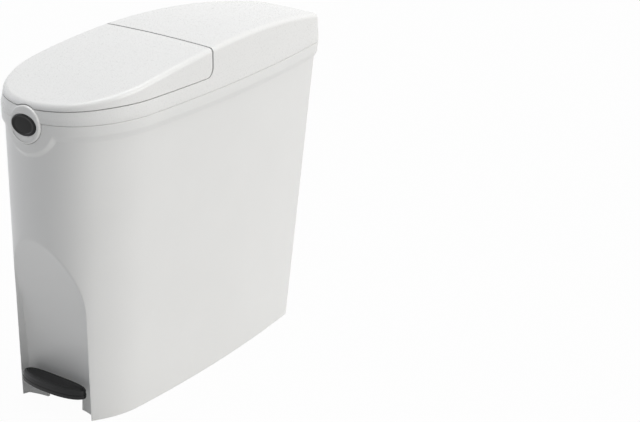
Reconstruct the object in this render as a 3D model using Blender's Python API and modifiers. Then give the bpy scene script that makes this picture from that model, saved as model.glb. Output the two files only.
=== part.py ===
"""Slim pedal sanitary container: a tapered body with a lift-out bucket, under a top unit whose
lid is raised by a pedal, a lever below the floor and a push rod. Metres, +Z up, front at -Y."""
import math

import bmesh
import bpy
from mathutils import Matrix, Vector

# Body plan at the rim and at the floor
RIM_LENGTH = 0.566
RIM_WIDTH = 0.192
REAR_NARROWING = 0.086
NOSE_TIGHTENING = 0.009
CHEEK_WIDENING = 0.064
LENGTH_DRAW = 0.059
WIDTH_DRAW = 0.028
REAR_WIDTH_DRAW = 0.0104
NOSE_DRAW = 0.014
CHEEK_DRAW = 0.014
BASE_SET_FORWARD = 0.0025
CORNER_RADIUS = 0.011

# Body heights and walls
RIM_HEIGHT = 0.4216
LEDGE_DROP = 0.0196
NECK_DEPTH = 0.0013
BODY_WALL = 0.0041
TONGUE_SETBACK = 0.0012
TONGUE_HEIGHT = 0.0055
FLOOR_UNDERSIDE = 0.056
FLOOR_THICKNESS = 0.003

# Band that stands proud round the rim, with a disc of it round the lock
BAND_OUT = 0.0040
BAND_HEIGHT = 0.0146
BAND_TAPER = 0.0080
DISC_RADIUS = 0.0375
DISC_TAPER = 0.0060

# Front scoop over the pedal
SCOOP_SIDE_MARGIN = 0.020
SCOOP_ARCH_RISE = 0.097
SCOOP_ARCH_SPRING = 0.160
SCOOP_DEPTH_AT_FLOOR = 0.052
SCOOP_HOLLOW = 0.010
SCOOP_CURVE_SHARE = 1.9
NOTCH_HALF_WIDTH = 0.031
NOTCH_HEIGHT = 0.0385

# Top unit
CROWN_RISE = 0.0624
CROWN_PEAK_Y = 0.060
CROWN_FRONT_FALL = 0.0387
CROWN_FRONT_EASE = 0.88
CROWN_REAR_FALL = 0.0218
CROWN_CROSS_RADIUS = 2.116
SHOULDER_RADIUS = 0.010
SHOULDER_INSET = 0.0015
TOP_WALL = 0.0026
SKIRT_OVERHANG = 0.0043
SKIRT_HEIGHT = 0.0060
SEAM_Y = -0.021
SEAM_CORNER_RADIUS = 0.014
SEAM_RISE = 0.0194
SEAM_DIP = 0.0035
SEAM_DIP_LENGTH = 0.090
SEAM_GAP = 0.0011
SEAM_REAR_GAP = 0.0029

# Lid hinge
HINGE_SETBACK = 0.012
HINGE_DEPTH = 0.0079
HINGE_ROD_RADIUS = 0.002
EYE_RADIUS = 0.0039
ARM_INSET = 0.010
ARM_THICKNESS = 0.004
ARM_WIDTH = 0.006
ARM_REACH = 0.034
ARM_THROAT = 0.0081
EAR_THICKNESS = 0.004
EAR_HALF_LENGTH = 0.005
PEG_REACH = 0.028
PEG_ANGLE = 35.0
PEG_RADIUS = 0.003

# Lock button and latch
BUTTON_WIDTH = 0.0416
BUTTON_HEIGHT = 0.028
BUTTON_DROP = 0.0056
BUTTON_PROUD = 0.0018
BUTTON_DEPTH = 0.016
BUTTON_TRAVEL = 0.004
BUTTON_EDGE = 0.0015
BOSS_RADIUS = 0.025
BOSS_PROUD = 0.0003
BOSS_BLEND = 0.012
NECK_CLEARANCE = 0.0006
HOUSING_WALL = 0.0016
HOUSING_LENGTH = 0.0345
HOUSING_SCREW_X = 0.0250
KEEPER_DROP = 0.0085
KEEPER_DEPTH = 0.0040
KEEPER_THICKNESS = 0.003
KEEPER_HALF_WIDTH = 0.009
HOOK_CLEARANCE = 0.0008
HOOK_THICKNESS = 0.0035
HOOK_HALF_WIDTH = 0.006
HOOK_TOE = 0.0030
HOOK_TOE_HEIGHT = 0.004
SLIDER_RADIUS = 0.0080
SLIDER_WALL = 0.0014
COVER_THICKNESS = 0.002
BUTTON_SPRING_RADIUS = 0.0034
BUTTON_SPRING_TURNS = 5
SPIGOT_RADIUS = 0.0024
SPIGOT_LENGTH = 0.003

# Pedal and lever
PIVOT_SETBACK = 0.038
PIVOT_Z = 0.0295
PIVOT_RADIUS = 0.0025
BARREL_RADIUS = 0.0052
BARREL_HALF_LENGTH = 0.0135
LEVER_HALF_WIDTH = 0.010
LEVER_THICKNESS = 0.004
LEVER_SLOPE = 7.5
LEVER_SETBACK = 0.009
LEVER_ARM_WIDTH = 0.018
LEVER_END_MARGIN = 0.008
LUG_THICKNESS = 0.004
LUG_HALF_LENGTH = 0.008
PEDAL_SIDE_GAP = 0.011
PEDAL_SETBACK = 0.009
PEDAL_LENGTH = 0.03315
PEDAL_FRONT_BOW = 0.0125
PEDAL_FRONT_POWER = 2.6
PEDAL_REAR_BOW = 0.008
PEDAL_REAR_POWER = 3.2
PEDAL_TIP_POWER = 10
PEDAL_TIP_ROUND = 0.45
PEDAL_TOP = 0.0460
PEDAL_THICKNESS = 0.014
PEDAL_CROWN = 0.0045
PEDAL_CROWN_INSET = 0.0012
PAD_SCREW_SPACING = 0.011

# Push rod, spring and guides
ROD_INSET = 0.030
ROD_RADIUS = 0.0025
ROD_FOOT_GAP = 0.0006
ROD_CAP_LENGTH = 0.015
ROD_CAP_WIDTH = 0.009
ROD_CAP_THICKNESS = 0.005
ROD_SOCKET_DEPTH = 0.0025
ROD_CAP_GAP = 0.0009
ROD_HOLE_CLEARANCE = 0.0008
COLLAR_Z = 0.066
COLLAR_RADIUS = 0.0055
COLLAR_THICKNESS = 0.002
ROD_SPRING_RADIUS = 0.0040
ROD_SPRING_TURNS = 9
LOWER_GUIDE_Z = 0.136
UPPER_GUIDE_DROP = 0.0556
GUIDE_HALF_HEIGHT = 0.006
GUIDE_HALF_LENGTH = 0.005
GUIDE_WALL = 0.0042
GUIDE_REACH = 0.0100
GUIDE_FLANGE_THICKNESS = 0.003
GUIDE_FLANGE_HALF_LENGTH = 0.015
GUIDE_SCREW_OFFSET = 0.0100

# Lift-out bucket and bag ring
BUCKET_CLEARANCE = 0.0055
BUCKET_WALL = 0.0020
BUCKET_DROP = 0.0473
CHANNEL_CLEARANCE = 0.003
RING_HEIGHT = 0.005
RING_WIDTH = 0.006
RING_OVERHANG = 0.0015

# Inner deck, its screws and buffers
DECK_RISE = 0.0124
DECK_THICKNESS = 0.0022
DECK_EDGE_GAP = 0.0026
DROP_SIDE_MARGIN = 0.040
DROP_FRONT_SETBACK = 0.06995
DROP_SETBACK = 0.043
DROP_CORNER_RADIUS = 0.020
DECK_SLOT_CLEARANCE = 0.0025
DECK_FRONT_LUG_Y = -0.150
DECK_REAR_LUG_Y = 0.190
DECK_LUG_LENGTH = 0.013
DECK_LUG_WIDTH = 0.012
DECK_LUG_THICKNESS = 0.0034
DECK_LUG_ROOT = 0.0020
BUFFER_X = 0.045
BUFFER_SETBACK = 0.048
BUFFER_RADIUS = 0.004
BUFFER_STEM_RADIUS = 0.002
BUFFER_GAP = 0.0011

# Privacy flap
FLAP_THICKNESS = 0.002
FLAP_MARGIN = 0.004
FLAP_GAP = 0.0006
FLAP_BARREL_RADIUS = 0.0032
FLAP_BARREL_MARGIN = 0.009
FLAP_NECK_LENGTH = 0.006
FLAP_PIN_RADIUS = 0.0015
FLAP_LUG_THICKNESS = 0.004
FLAP_LUG_HALF_LENGTH = 0.004
FLAP_SPRING_HALF_LENGTH = 0.011
FLAP_SPRING_RADIUS = 0.0025
FLAP_SPRING_TURNS = 6

# Rear hinge of the top unit
KNUCKLE_RADIUS = 0.0030
KNUCKLE_LENGTH = 0.008
MIDDLE_KNUCKLE_LENGTH = 0.014
KNUCKLE_X = 0.032
KNUCKLE_FOOT = 0.004
REAR_PIN_RADIUS = 0.0013
REAR_AXIS_OUT = 0.0004

# Fasteners, spring wire and clearances
SCREW_RADIUS = 0.0015
SCREW_HEAD_RADIUS = 0.0030
SCREW_HEAD_HEIGHT = 0.0016
SCREW_LENGTH = 0.006
CLIP_RADIUS = 0.005
CLIP_THICKNESS = 0.0012
SPRING_WIRE = 0.0010
FINE_WIRE = 0.0007
SEAT = 0.0003
FIT = 0.0003
SWING_GAP = 0.00035
OVERRUN = 0.010
EDGE = 0.0006

# Mesh steps
NOSE_STEPS = 12
CHEEK_STEPS = 4
SIDE_STEPS = 8
CORNER_STEPS = 3
SHOULDER_STEPS = 4
CROWN_ACROSS = 4
SCOOP_ROWS = 12
SCOOP_COLUMNS = 9
ARCH_STEPS = 31
ROUND_STEPS = 32
PIN_STEPS = 16
SCREW_STEPS = 10
COIL_STEPS = 9

# Sizes and places worked out from the sizes above
RIM_REAR_WIDTH = RIM_WIDTH - REAR_NARROWING
RIM_NOSE_RADIUS = RIM_WIDTH / 2 - NOSE_TIGHTENING
RIM_CHEEK_RADIUS = RIM_WIDTH / 2 + CHEEK_WIDENING
BASE_LENGTH = RIM_LENGTH - LENGTH_DRAW
BASE_WIDTH = RIM_WIDTH - WIDTH_DRAW
BASE_REAR_WIDTH = RIM_REAR_WIDTH - REAR_WIDTH_DRAW
BASE_NOSE_RADIUS = RIM_NOSE_RADIUS - NOSE_DRAW
BASE_CHEEK_RADIUS = RIM_CHEEK_RADIUS - CHEEK_DRAW
SCOOP_HALF_WIDTH = BASE_WIDTH / 2 - SCOOP_SIDE_MARGIN
PEDAL_WIDTH = 2 * (SCOOP_HALF_WIDTH - PEDAL_SIDE_GAP)
ROD_X = RIM_WIDTH / 2 - ROD_INSET
ARM_X = ROD_X - ARM_INSET
DROP_HALF_WIDTH = RIM_WIDTH / 2 - DROP_SIDE_MARGIN
FLAP_BARREL_HALF_LENGTH = DROP_HALF_WIDTH - FLAP_BARREL_MARGIN
LEDGE_HEIGHT = RIM_HEIGHT - LEDGE_DROP
CROWN_HEIGHT = RIM_HEIGHT + CROWN_RISE
SEAM_HEIGHT = RIM_HEIGHT + SEAM_RISE
BUTTON_Z = RIM_HEIGHT - BUTTON_DROP
DECK_Z = RIM_HEIGHT + DECK_RISE
UPPER_GUIDE_Z = RIM_HEIGHT - UPPER_GUIDE_DROP
CENTRE_Y = (BOSS_PROUD + BUTTON_PROUD) / 2
FRONT_Y = CENTRE_Y - RIM_LENGTH / 2
REAR_Y = CENTRE_Y + RIM_LENGTH / 2
BASE_FRONT_Y = CENTRE_Y - BASE_SET_FORWARD - BASE_LENGTH / 2
FLOOR_TOP = FLOOR_UNDERSIDE + FLOOR_THICKNESS
SCOOP_FLOOR_Y = BASE_FRONT_Y + SCOOP_DEPTH_AT_FLOOR
LIP_OUT = -NECK_DEPTH - TONGUE_SETBACK
SKIRT_INSIDE = SKIRT_OVERHANG - TOP_WALL
HINGE_Y = SEAM_Y + HINGE_SETBACK
PEG_DROP = PEG_REACH * math.sin(math.radians(PEG_ANGLE))
PEG_FORWARD = PEG_REACH * math.cos(math.radians(PEG_ANGLE))
BOSS_FRONT_Y = FRONT_Y - SKIRT_OVERHANG - BOSS_PROUD
BUTTON_FRONT_Y = BOSS_FRONT_Y - BUTTON_PROUD
BUTTON_BACK_Y = BOSS_FRONT_Y + BUTTON_DEPTH
HOUSING_BACK_Y = BOSS_FRONT_Y + HOUSING_LENGTH
HOLE_HALF_WIDTH = BUTTON_WIDTH / 2 + FIT
HOLE_HALF_HEIGHT = BUTTON_HEIGHT / 2 + FIT
HOUSING_HALF_WIDTH = HOLE_HALF_WIDTH + HOUSING_WALL
HOUSING_HALF_HEIGHT = HOLE_HALF_HEIGHT + HOUSING_WALL
PIVOT_Y = SCOOP_FLOOR_Y + PIVOT_SETBACK
ROD_Y = HINGE_Y - (PEG_REACH + PEG_FORWARD) / 2
PEDAL_FRONT_Y = BASE_FRONT_Y + PEDAL_SETBACK
PEDAL_REAR_Y = PEDAL_FRONT_Y + PEDAL_LENGTH
SLOPE = math.radians(LEVER_SLOPE)
ROD_REACH = (ROD_Y - PIVOT_Y) / math.cos(SLOPE)
ROD_FOOT_Z = (PIVOT_Z - ROD_REACH * math.sin(SLOPE) + LEVER_THICKNESS / 2 / math.cos(SLOPE)
              + ROD_RADIUS * math.tan(SLOPE) + ROD_FOOT_GAP)
GUIDE_FACE_X = ROD_X + GUIDE_REACH
CHANNEL_X = ROD_X - ROD_RADIUS - FIT - GUIDE_WALL - CHANNEL_CLEARANCE
CHANNEL_HALF_LENGTH = GUIDE_FLANGE_HALF_LENGTH + CHANNEL_CLEARANCE
BUCKET_OUT = -BODY_WALL - BUCKET_CLEARANCE
BUCKET_FLOOR_Z = FLOOR_TOP + SEAT
BUCKET_TOP = RIM_HEIGHT - BUCKET_DROP
DECK_TOP = DECK_Z + DECK_THICKNESS
DROP_REAR_Y = SEAM_Y - DROP_SETBACK
DROP_FRONT_Y = FRONT_Y + DROP_FRONT_SETBACK
FLAP_AXIS_Y = DROP_REAR_Y + FLAP_BARREL_RADIUS + FLAP_GAP
FLAP_AXIS_Z = DECK_Z - FLAP_BARREL_RADIUS - FLAP_GAP
BUFFER_Y = FRONT_Y + BUFFER_SETBACK
REAR_AXIS_Y = REAR_Y + REAR_AXIS_OUT
KEEPER_TOP = BUTTON_Z - HOUSING_HALF_HEIGHT - KEEPER_DROP + KEEPER_THICKNESS

WHITE = (0.80, 0.80, 0.78)
BLACK = (0.012, 0.012, 0.013)
GREY = (0.35, 0.36, 0.37)
STEEL = (0.62, 0.62, 0.60)


def clear_scene():
    for old in list(bpy.data.objects):
        bpy.data.objects.remove(old, do_unlink=True)


def make_collection(name):
    group = bpy.data.collections.new(name)
    bpy.context.scene.collection.children.link(group)
    return group


def finish(name, colour, roughness, metallic=0.0):
    made = bpy.data.materials.new(name)
    made.use_nodes = True
    shader = made.node_tree.nodes["Principled BSDF"]
    shader.inputs["Base Color"].default_value = (*colour, 1.0)
    shader.inputs["Roughness"].default_value = roughness
    shader.inputs["Metallic"].default_value = metallic
    return made


def white(name):
    return finish(name + "_white_polypropylene", WHITE, 0.35)


def black(name):
    return finish(name + "_black_plastic", BLACK, 0.4)


def grey(name):
    return finish(name + "_grey_plastic", GREY, 0.45)


def steel(name):
    return finish(name + "_bright_steel", STEEL, 0.3, 1.0)


def add_object(name, mesh, material=None, location=(0, 0, 0)):
    """Puts a mesh among the parts, or among the cutters when it has no material."""
    made = bpy.data.objects.new(name, mesh)
    made.location = location
    if material is None:
        bpy.data.collections["cutters"].objects.link(made)
        made.hide_render = True
        made.display_type = "WIRE"
    else:
        bpy.data.collections["sanitary_container"].objects.link(made)
        mesh.materials.append(material)
    return made


def mesh_from(name, bm):
    bmesh.ops.recalc_face_normals(bm, faces=bm.faces)
    mesh = bpy.data.meshes.new(name)
    bm.to_mesh(mesh)
    bm.free()
    return mesh


def smooth(made, angle=35):
    made.data.shade_smooth()
    made.data.set_sharp_from_angle(angle=math.radians(angle))
    return made


def box(name, low, high, material=None):
    bm = bmesh.new()
    bmesh.ops.create_cube(bm, size=1)
    bmesh.ops.scale(bm, vec=[b - a for a, b in zip(low, high)], verts=bm.verts)
    return add_object(name, mesh_from(name, bm), material, [(a + b) / 2 for a, b in zip(low, high)])


def rod(name, radius, start, end, material=None, steps=PIN_STEPS):
    """A cylinder from one point to another."""
    start, end = Vector(start), Vector(end)
    along = end - start
    bm = bmesh.new()
    bmesh.ops.create_cone(bm, cap_ends=True, segments=steps, radius1=radius, radius2=radius,
                          depth=along.length, matrix=Matrix.Rotation(math.pi / steps, 4, "Z"))
    made = smooth(add_object(name, mesh_from(name, bm), material, (start + end) / 2))
    made.rotation_euler = along.to_track_quat("Z", "Y").to_euler()
    return made


def cross_rod(name, radius, x, y, z, half_length, material=None, steps=PIN_STEPS):
    """A cylinder along X about a middle point."""
    return rod(name, radius, (x - half_length, y, z), (x + half_length, y, z), material, steps)


PLATE_FRAMES = {"X": ((0, 1, 0), (0, 0, 1), (1, 0, 0)), "Y": ((1, 0, 0), (0, 0, 1), (0, -1, 0)),
                "Z": ((1, 0, 0), (0, 1, 0), (0, 0, 1))}


def plate(name, outline, axis, low, high, material=None):
    """A flat outline with thickness along an axis; its points are (y, z), (x, z) or (x, y)."""
    curve = bpy.data.curves.new(name, "CURVE")
    curve.dimensions = "2D"
    curve.fill_mode = "BOTH"
    curve.extrude = (high - low) / 2
    spline = curve.splines.new("POLY")
    spline.points.add(len(outline) - 1)
    for point, (u, v) in zip(spline.points, outline):
        point.co = (u, v, 0, 1)
    spline.use_cyclic_u = True
    drawn = bpy.data.objects.new(name + "_outline", curve)
    bpy.data.collections["cutters"].objects.link(drawn)
    depsgraph = bpy.context.evaluated_depsgraph_get()
    mesh = bpy.data.meshes.new_from_object(drawn.evaluated_get(depsgraph))
    bpy.data.objects.remove(drawn, do_unlink=True)
    columns = Matrix(PLATE_FRAMES[axis]).transposed().to_4x4()
    middle = (low + high) / 2
    offset = {"X": (middle, 0, 0), "Y": (0, middle, 0), "Z": (0, 0, middle)}[axis]
    bm = bmesh.new()
    bm.from_mesh(mesh)
    bmesh.ops.remove_doubles(bm, verts=bm.verts, dist=EDGE / 600)
    bmesh.ops.transform(bm, matrix=columns, verts=bm.verts)
    mesh.clear_geometry()
    mesh.materials.clear()
    bmesh.ops.recalc_face_normals(bm, faces=bm.faces)
    bm.to_mesh(mesh)
    bm.free()
    return smooth(add_object(name, mesh, material, offset))


def turned(name, profile, location, direction, material=None, steps=ROUND_STEPS):
    """A profile of (radius, height) points, from the top down, turned about an axis that points up it."""
    mesh = bpy.data.meshes.new(name)
    points = [(radius, 0, height) for radius, height in profile]
    mesh.from_pydata(points, [(i, i + 1) for i in range(len(points) - 1)], [])
    made = add_object(name, mesh, material, location)
    made.rotation_euler = Vector(direction).to_track_quat("Z", "Y").to_euler()
    spin = made.modifiers.new("turned", "SCREW")
    spin.steps = steps
    spin.render_steps = steps
    spin.use_merge_vertices = True
    spin.merge_threshold = EDGE / 60
    spin.use_smooth_shade = True
    return made


def coil(name, radius, wire, turns, start, end, material):
    """A round-wire coil from one point to another."""
    start, end = Vector(start), Vector(end)
    along = end - start
    count = turns * COIL_STEPS
    curve = bpy.data.curves.new(name, "CURVE")
    curve.dimensions = "3D"
    curve.bevel_depth = wire / 2
    curve.bevel_resolution = 1
    curve.use_fill_caps = True
    spline = curve.splines.new("POLY")
    spline.points.add(count)
    for i, point in enumerate(spline.points):
        turn = math.tau * i / COIL_STEPS
        climb = wire / 2 + (along.length - wire) * i / count
        point.co = (radius * math.cos(turn), radius * math.sin(turn), climb, 1)
    made = bpy.data.objects.new(name, curve)
    made.location = start
    made.rotation_euler = along.to_track_quat("Z", "Y").to_euler()
    bpy.data.collections["sanitary_container"].objects.link(made)
    curve.materials.append(material)
    return made


def arc(centre, radius, start, end, steps):
    turns = [start + (end - start) * i / steps for i in range(steps + 1)]
    return [(centre[0] + radius * math.cos(t), centre[1] + radius * math.sin(t)) for t in turns]


def oval(half_width, half_height, centre):
    """An ellipse in the plane of x and z."""
    turns = [math.tau * (i + 0.5) / ROUND_STEPS for i in range(ROUND_STEPS)]
    return [(centre[0] + half_width * math.cos(t), centre[1] + half_height * math.sin(t)) for t in turns]


def rounded_rectangle(low, high, radius, steps=5):
    quarter = math.pi / 2
    corners = ((high[0] - radius, high[1] - radius), (low[0] + radius, high[1] - radius),
               (low[0] + radius, low[1] + radius), (high[0] - radius, low[1] + radius))
    points = []
    for i, corner in enumerate(corners):
        points += arc(corner, radius, i * quarter, (i + 1) * quarter, steps)
    return points


def combine(made, other, operation="DIFFERENCE"):
    change = made.modifiers.new(other.name, "BOOLEAN")
    change.operation = operation
    change.solver = "EXACT"
    change.object = other
    return made


def cut(made, *others):
    for other in others:
        combine(made, other, "DIFFERENCE")
    return made


def join(made, *others):
    for other in others:
        combine(made, other, "UNION")
    return made


def axis_empty(name, location, parent=None):
    """An empty on a joint's axis, which carries the pieces that turn or slide on it."""
    made = bpy.data.objects.new(name, None)
    made.empty_display_size = RIM_WIDTH / 4
    made.location = location
    bpy.data.collections["sanitary_container"].objects.link(made)
    if parent:
        hang(parent, made)
    return made


def hang(parent, *pieces):
    """Parents pieces to an empty and leaves them where they are."""
    for piece in pieces:
        piece.parent = parent
        piece.matrix_parent_inverse = Matrix.Translation(parent.location).inverted()


def plan_at(height):
    """The body's plan at a height: its sizes run evenly from the floor to the rim, then stay."""
    share = min(1.0, height / RIM_HEIGHT)
    pairs = ((BASE_LENGTH, RIM_LENGTH), (BASE_WIDTH, RIM_WIDTH), (BASE_REAR_WIDTH, RIM_REAR_WIDTH),
             (BASE_NOSE_RADIUS, RIM_NOSE_RADIUS), (BASE_CHEEK_RADIUS, RIM_CHEEK_RADIUS),
             (CENTRE_Y - BASE_SET_FORWARD, CENTRE_Y))
    return [a + (b - a) * share for a, b in pairs]


def half_outline(height, outward=0.0):
    """The plan's right half from the nose to the rear corner: nose, cheek, side and corner arcs."""
    length, width, rear_width, nose, cheek, centre_y = plan_at(height)
    nose_centre = (0.0, centre_y - length / 2 + nose)
    meet = -math.acos((cheek - width / 2) / (cheek - nose))
    cheek_centre = (width / 2 - cheek, nose_centre[1] - (cheek - nose) * math.sin(meet))
    drop = (width - rear_width) / 2
    run = centre_y + length / 2 - cheek_centre[1]
    side = (run * run + drop * drop) / (2 * drop)
    side_centre = (width / 2 - side, cheek_centre[1])
    corner = max(CORNER_RADIUS + outward, EDGE)
    corner_y = centre_y + length / 2 + outward - corner
    rise = corner_y - side_centre[1]
    corner_x = side_centre[0] + math.sqrt((side + outward - corner) ** 2 - rise * rise)
    turn = math.atan2(rise, corner_x - side_centre[0])
    points = arc(nose_centre, nose + outward, -math.pi / 2, meet, NOSE_STEPS)
    points += arc(cheek_centre, cheek + outward, meet, 0.0, CHEEK_STEPS)[1:]
    points += arc(side_centre, side + outward, 0.0, turn, SIDE_STEPS)[1:]
    points += arc((corner_x, corner_y), corner, turn, math.pi / 2, CORNER_STEPS)[1:]
    return points


def half_width_at(y, height, outward=0.0):
    points = half_outline(height, outward)
    for (x0, y0), (x1, y1) in zip(points, points[1:]):
        if y0 <= y <= y1:
            return x0 + (x1 - x0) * (y - y0) / (y1 - y0)
    return points[-1][0]


def front_at(height, outward=0.0):
    return half_outline(height, outward)[0][1]


def rear_at(height, outward=0.0):
    return half_outline(height, outward)[-1][1]


def flat(z):
    return lambda x, y: z


def ring(height, outward, lift, across):
    """A closed ring round the plan; lift gives each point's z from its x and y."""
    right = half_outline(height, outward)
    edge_x, edge_y = right[-1]
    rear = [(edge_x - 2 * edge_x * i / across, edge_y) for i in range(1, across)]
    left = [(-x, y) for x, y in reversed(right[1:])]
    return [Vector((x, y, lift(x, y))) for x, y in right + rear + left], len(right) - 1


def cap(bm, verts, rows, across, lift):
    """Closes a ring with rows of faces that run from side to side."""
    last = [verts[0]]
    for i in range(1, rows + 1):
        right, left = verts[i], verts[-i]
        if i == rows:
            row = verts[rows:rows + across + 1]
        else:
            inner = [right.co.lerp(left.co, k / across) for k in range(1, across)]
            row = [right] + [bm.verts.new((p.x, p.y, lift(p.x, p.y))) for p in inner] + [left]
        for k in range(across):
            if len(last) == 1:
                bm.faces.new((last[0], row[k], row[k + 1]))
            else:
                bm.faces.new((last[k], row[k], row[k + 1], last[k + 1]))
        last = row


def loft(name, levels, material=None, across=1):
    """A closed solid through rings given as (plan height, outward, lift)."""
    bm = bmesh.new()
    rings = []
    for height, outward, lift in levels:
        points, rows = ring(height, outward, lift, across)
        rings.append([bm.verts.new(p) for p in points])
    for lower, upper in zip(rings, rings[1:]):
        for i in range(len(lower)):
            j = (i + 1) % len(lower)
            bm.faces.new((lower[i], lower[j], upper[j], upper[i]))
    cap(bm, rings[0], rows, across, levels[0][2])
    cap(bm, rings[-1], rows, across, levels[-1][2])
    return smooth(add_object(name, mesh_from(name, bm), material), 30)


def upright(name, outward, low, high, material=None):
    """A loft that follows the body's taper from one height to another, at one distance outward."""
    return loft(name, [(low, outward, flat(low)), (high, outward, flat(high))], material)


def crown_z(x, y):
    """The crown's arch, which falls from its peak to the rear and, straightening out, to the nose."""
    if y > CROWN_PEAK_Y:
        fall = CROWN_REAR_FALL * ((y - CROWN_PEAK_Y) / (REAR_Y - CROWN_PEAK_Y)) ** 2
    else:
        share = (CROWN_PEAK_Y - y) / (CROWN_PEAK_Y - FRONT_Y)
        ease = CROWN_FRONT_EASE
        fall = CROWN_FRONT_FALL * (math.hypot(ease, share) - ease) / (math.hypot(ease, 1) - ease)
    return CROWN_HEIGHT - fall - x * x / (2 * CROWN_CROSS_RADIUS)


HINGE_Z = crown_z(0, HINGE_Y) - HINGE_DEPTH
PEG_Y = HINGE_Y - PEG_FORWARD
PEG_Z = HINGE_Z - PEG_DROP
ROD_CAP_TOP = PEG_Z - PEG_RADIUS - ROD_CAP_GAP
ROD_TOP = ROD_CAP_TOP - ROD_CAP_THICKNESS + ROD_SOCKET_DEPTH - SEAT


def crown(name, inset, material=None):
    """The top unit's outside, or its inside when inset is the wall, which then runs on below it."""
    levels = []
    if inset:
        levels.append((RIM_HEIGHT, SKIRT_OVERHANG - inset, flat(RIM_HEIGHT - OVERRUN)))
    levels.append((RIM_HEIGHT, SKIRT_OVERHANG - inset, flat(RIM_HEIGHT)))
    levels.append((RIM_HEIGHT, SKIRT_OVERHANG - inset, flat(RIM_HEIGHT + SKIRT_HEIGHT)))
    radius = SHOULDER_RADIUS - inset
    start = SKIRT_OVERHANG - SHOULDER_INSET - inset
    for i in range(SHOULDER_STEPS + 1):
        turn = math.pi / 2 * i / SHOULDER_STEPS
        drop = inset + radius * (1 - math.sin(turn))
        levels.append((RIM_HEIGHT, start - radius * (1 - math.cos(turn)),
                       lambda x, y, d=drop: crown_z(x, y) - d))
    return loft(name, levels, material, CROWN_ACROSS)


def scoop_y(z):
    """The scoop's middle line, which leaves the front at the arch's top and deepens to the floor."""
    top = SCOOP_ARCH_SPRING + SCOOP_ARCH_RISE
    share = max(0.0, min(1.0, z / top))
    return SCOOP_FLOOR_Y + (front_at(top) - SCOOP_FLOOR_Y) * share ** SCOOP_CURVE_SHARE


def scoop_face(name, grow):
    """A block that fills the space in front of the scoop's hollowed face, grow deeper than it."""
    low, high = -OVERRUN, SCOOP_ARCH_SPRING + SCOOP_ARCH_RISE + grow + OVERRUN
    half = SCOOP_HALF_WIDTH + grow + OVERRUN
    bm = bmesh.new()
    bmesh.ops.create_grid(bm, x_segments=SCOOP_COLUMNS, y_segments=SCOOP_ROWS, size=1)
    for vert in bm.verts:
        x = vert.co.x * half
        z = low + (vert.co.y + 1) / 2 * (high - low)
        hollow = SCOOP_HOLLOW * max(0.0, 1 - (max(z, 0.0) / SCOOP_ARCH_SPRING) ** 2)
        vert.co = (x, scoop_y(z) + grow - hollow * min(1.0, abs(x) / SCOOP_HALF_WIDTH) ** 3, z)
    front = bmesh.ops.extrude_face_region(bm, geom=list(bm.faces))["geom"]
    for vert in front:
        if isinstance(vert, bmesh.types.BMVert):
            vert.co.y = FRONT_Y - 2 * OVERRUN
    return add_object(name, mesh_from(name, bm))


def scoop(name, grow=0.0):
    """The recess over the pedal: an arch from the front, as deep as the hollowed face."""
    half = SCOOP_HALF_WIDTH + grow
    turns = [math.pi * i / ARCH_STEPS for i in range(ARCH_STEPS + 1)]
    arch = [(half * math.cos(t), SCOOP_ARCH_SPRING + (SCOOP_ARCH_RISE + grow) * math.sin(t)) for t in turns]
    arch += [(-half, -OVERRUN / 2), (half, -OVERRUN / 2)]
    made = plate(name, arch, "Y", FRONT_Y - OVERRUN, SCOOP_FLOOR_Y + grow + OVERRUN)
    return combine(made, scoop_face(name + "_face", grow), "INTERSECT")


def bolt(name, seat, direction):
    """A pan-head screw whose shank points along a direction from its seat, with SEAT under the head."""
    profile = [(0, SCREW_HEAD_HEIGHT), (SCREW_HEAD_RADIUS * 0.7, SCREW_HEAD_HEIGHT),
               (SCREW_HEAD_RADIUS, SCREW_HEAD_HEIGHT / 2), (SCREW_HEAD_RADIUS, 0), (SCREW_RADIUS, 0),
               (SCREW_RADIUS, -SCREW_LENGTH), (0, -SCREW_LENGTH)]
    up = -Vector(direction)
    return turned(name, profile, Vector(seat) + up * SEAT, up, steel(name), SCREW_STEPS)


def bolt_hole(name, seat, direction):
    """The clearance hole of a screw at the same seat."""
    step = Vector(direction)
    seat = Vector(seat)
    return rod(name, SCREW_RADIUS + FIT, seat - step * SCREW_HEAD_RADIUS,
               seat + step * (SCREW_LENGTH + SEAT + FIT), steps=SCREW_STEPS)


def washer(name, inner, outer, thickness, location, direction, material):
    profile = [(inner, thickness), (outer, thickness), (outer, 0), (inner, 0), (inner, thickness)]
    return turned(name, profile, location, direction, material, PIN_STEPS)


def lug_outline(y, z, half_length, top):
    """A lug that hangs from above and ends round about its bore; points are (y, z)."""
    return arc((y, z), half_length, math.pi, math.tau, ROUND_STEPS // 4) + [(y + half_length, top),
                                                                            (y - half_length, top)]


def body_knuckle_places():
    """Middle x of each body knuckle, one on each side of each frame knuckle."""
    apart = (MIDDLE_KNUCKLE_LENGTH + KNUCKLE_LENGTH) / 2 + FIT
    return [(f"{side}_{place}", sign * KNUCKLE_X + step * apart)
            for side, sign in (("left", -1), ("right", 1)) for place, step in (("outer", -1), ("inner", 1))]


def band_ring(outward, low, radius):
    """A ring on the body's taper at one height, which dips to a radius round the lock's middle."""
    right = []
    for (foot_x, foot_y), (rim_x, rim_y) in zip(half_outline(0, outward), half_outline(RIM_HEIGHT, outward)):
        z = low
        if rim_y < 0 and rim_x < radius:
            z = min(low, BUTTON_Z - math.sqrt(radius * radius - rim_x * rim_x))
        share = z / RIM_HEIGHT
        right.append(Vector((foot_x + (rim_x - foot_x) * share, foot_y + (rim_y - foot_y) * share, z)))
    return right + [Vector((-p.x, p.y, p.z)) for p in reversed(right[1:])], len(right) - 1


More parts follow.
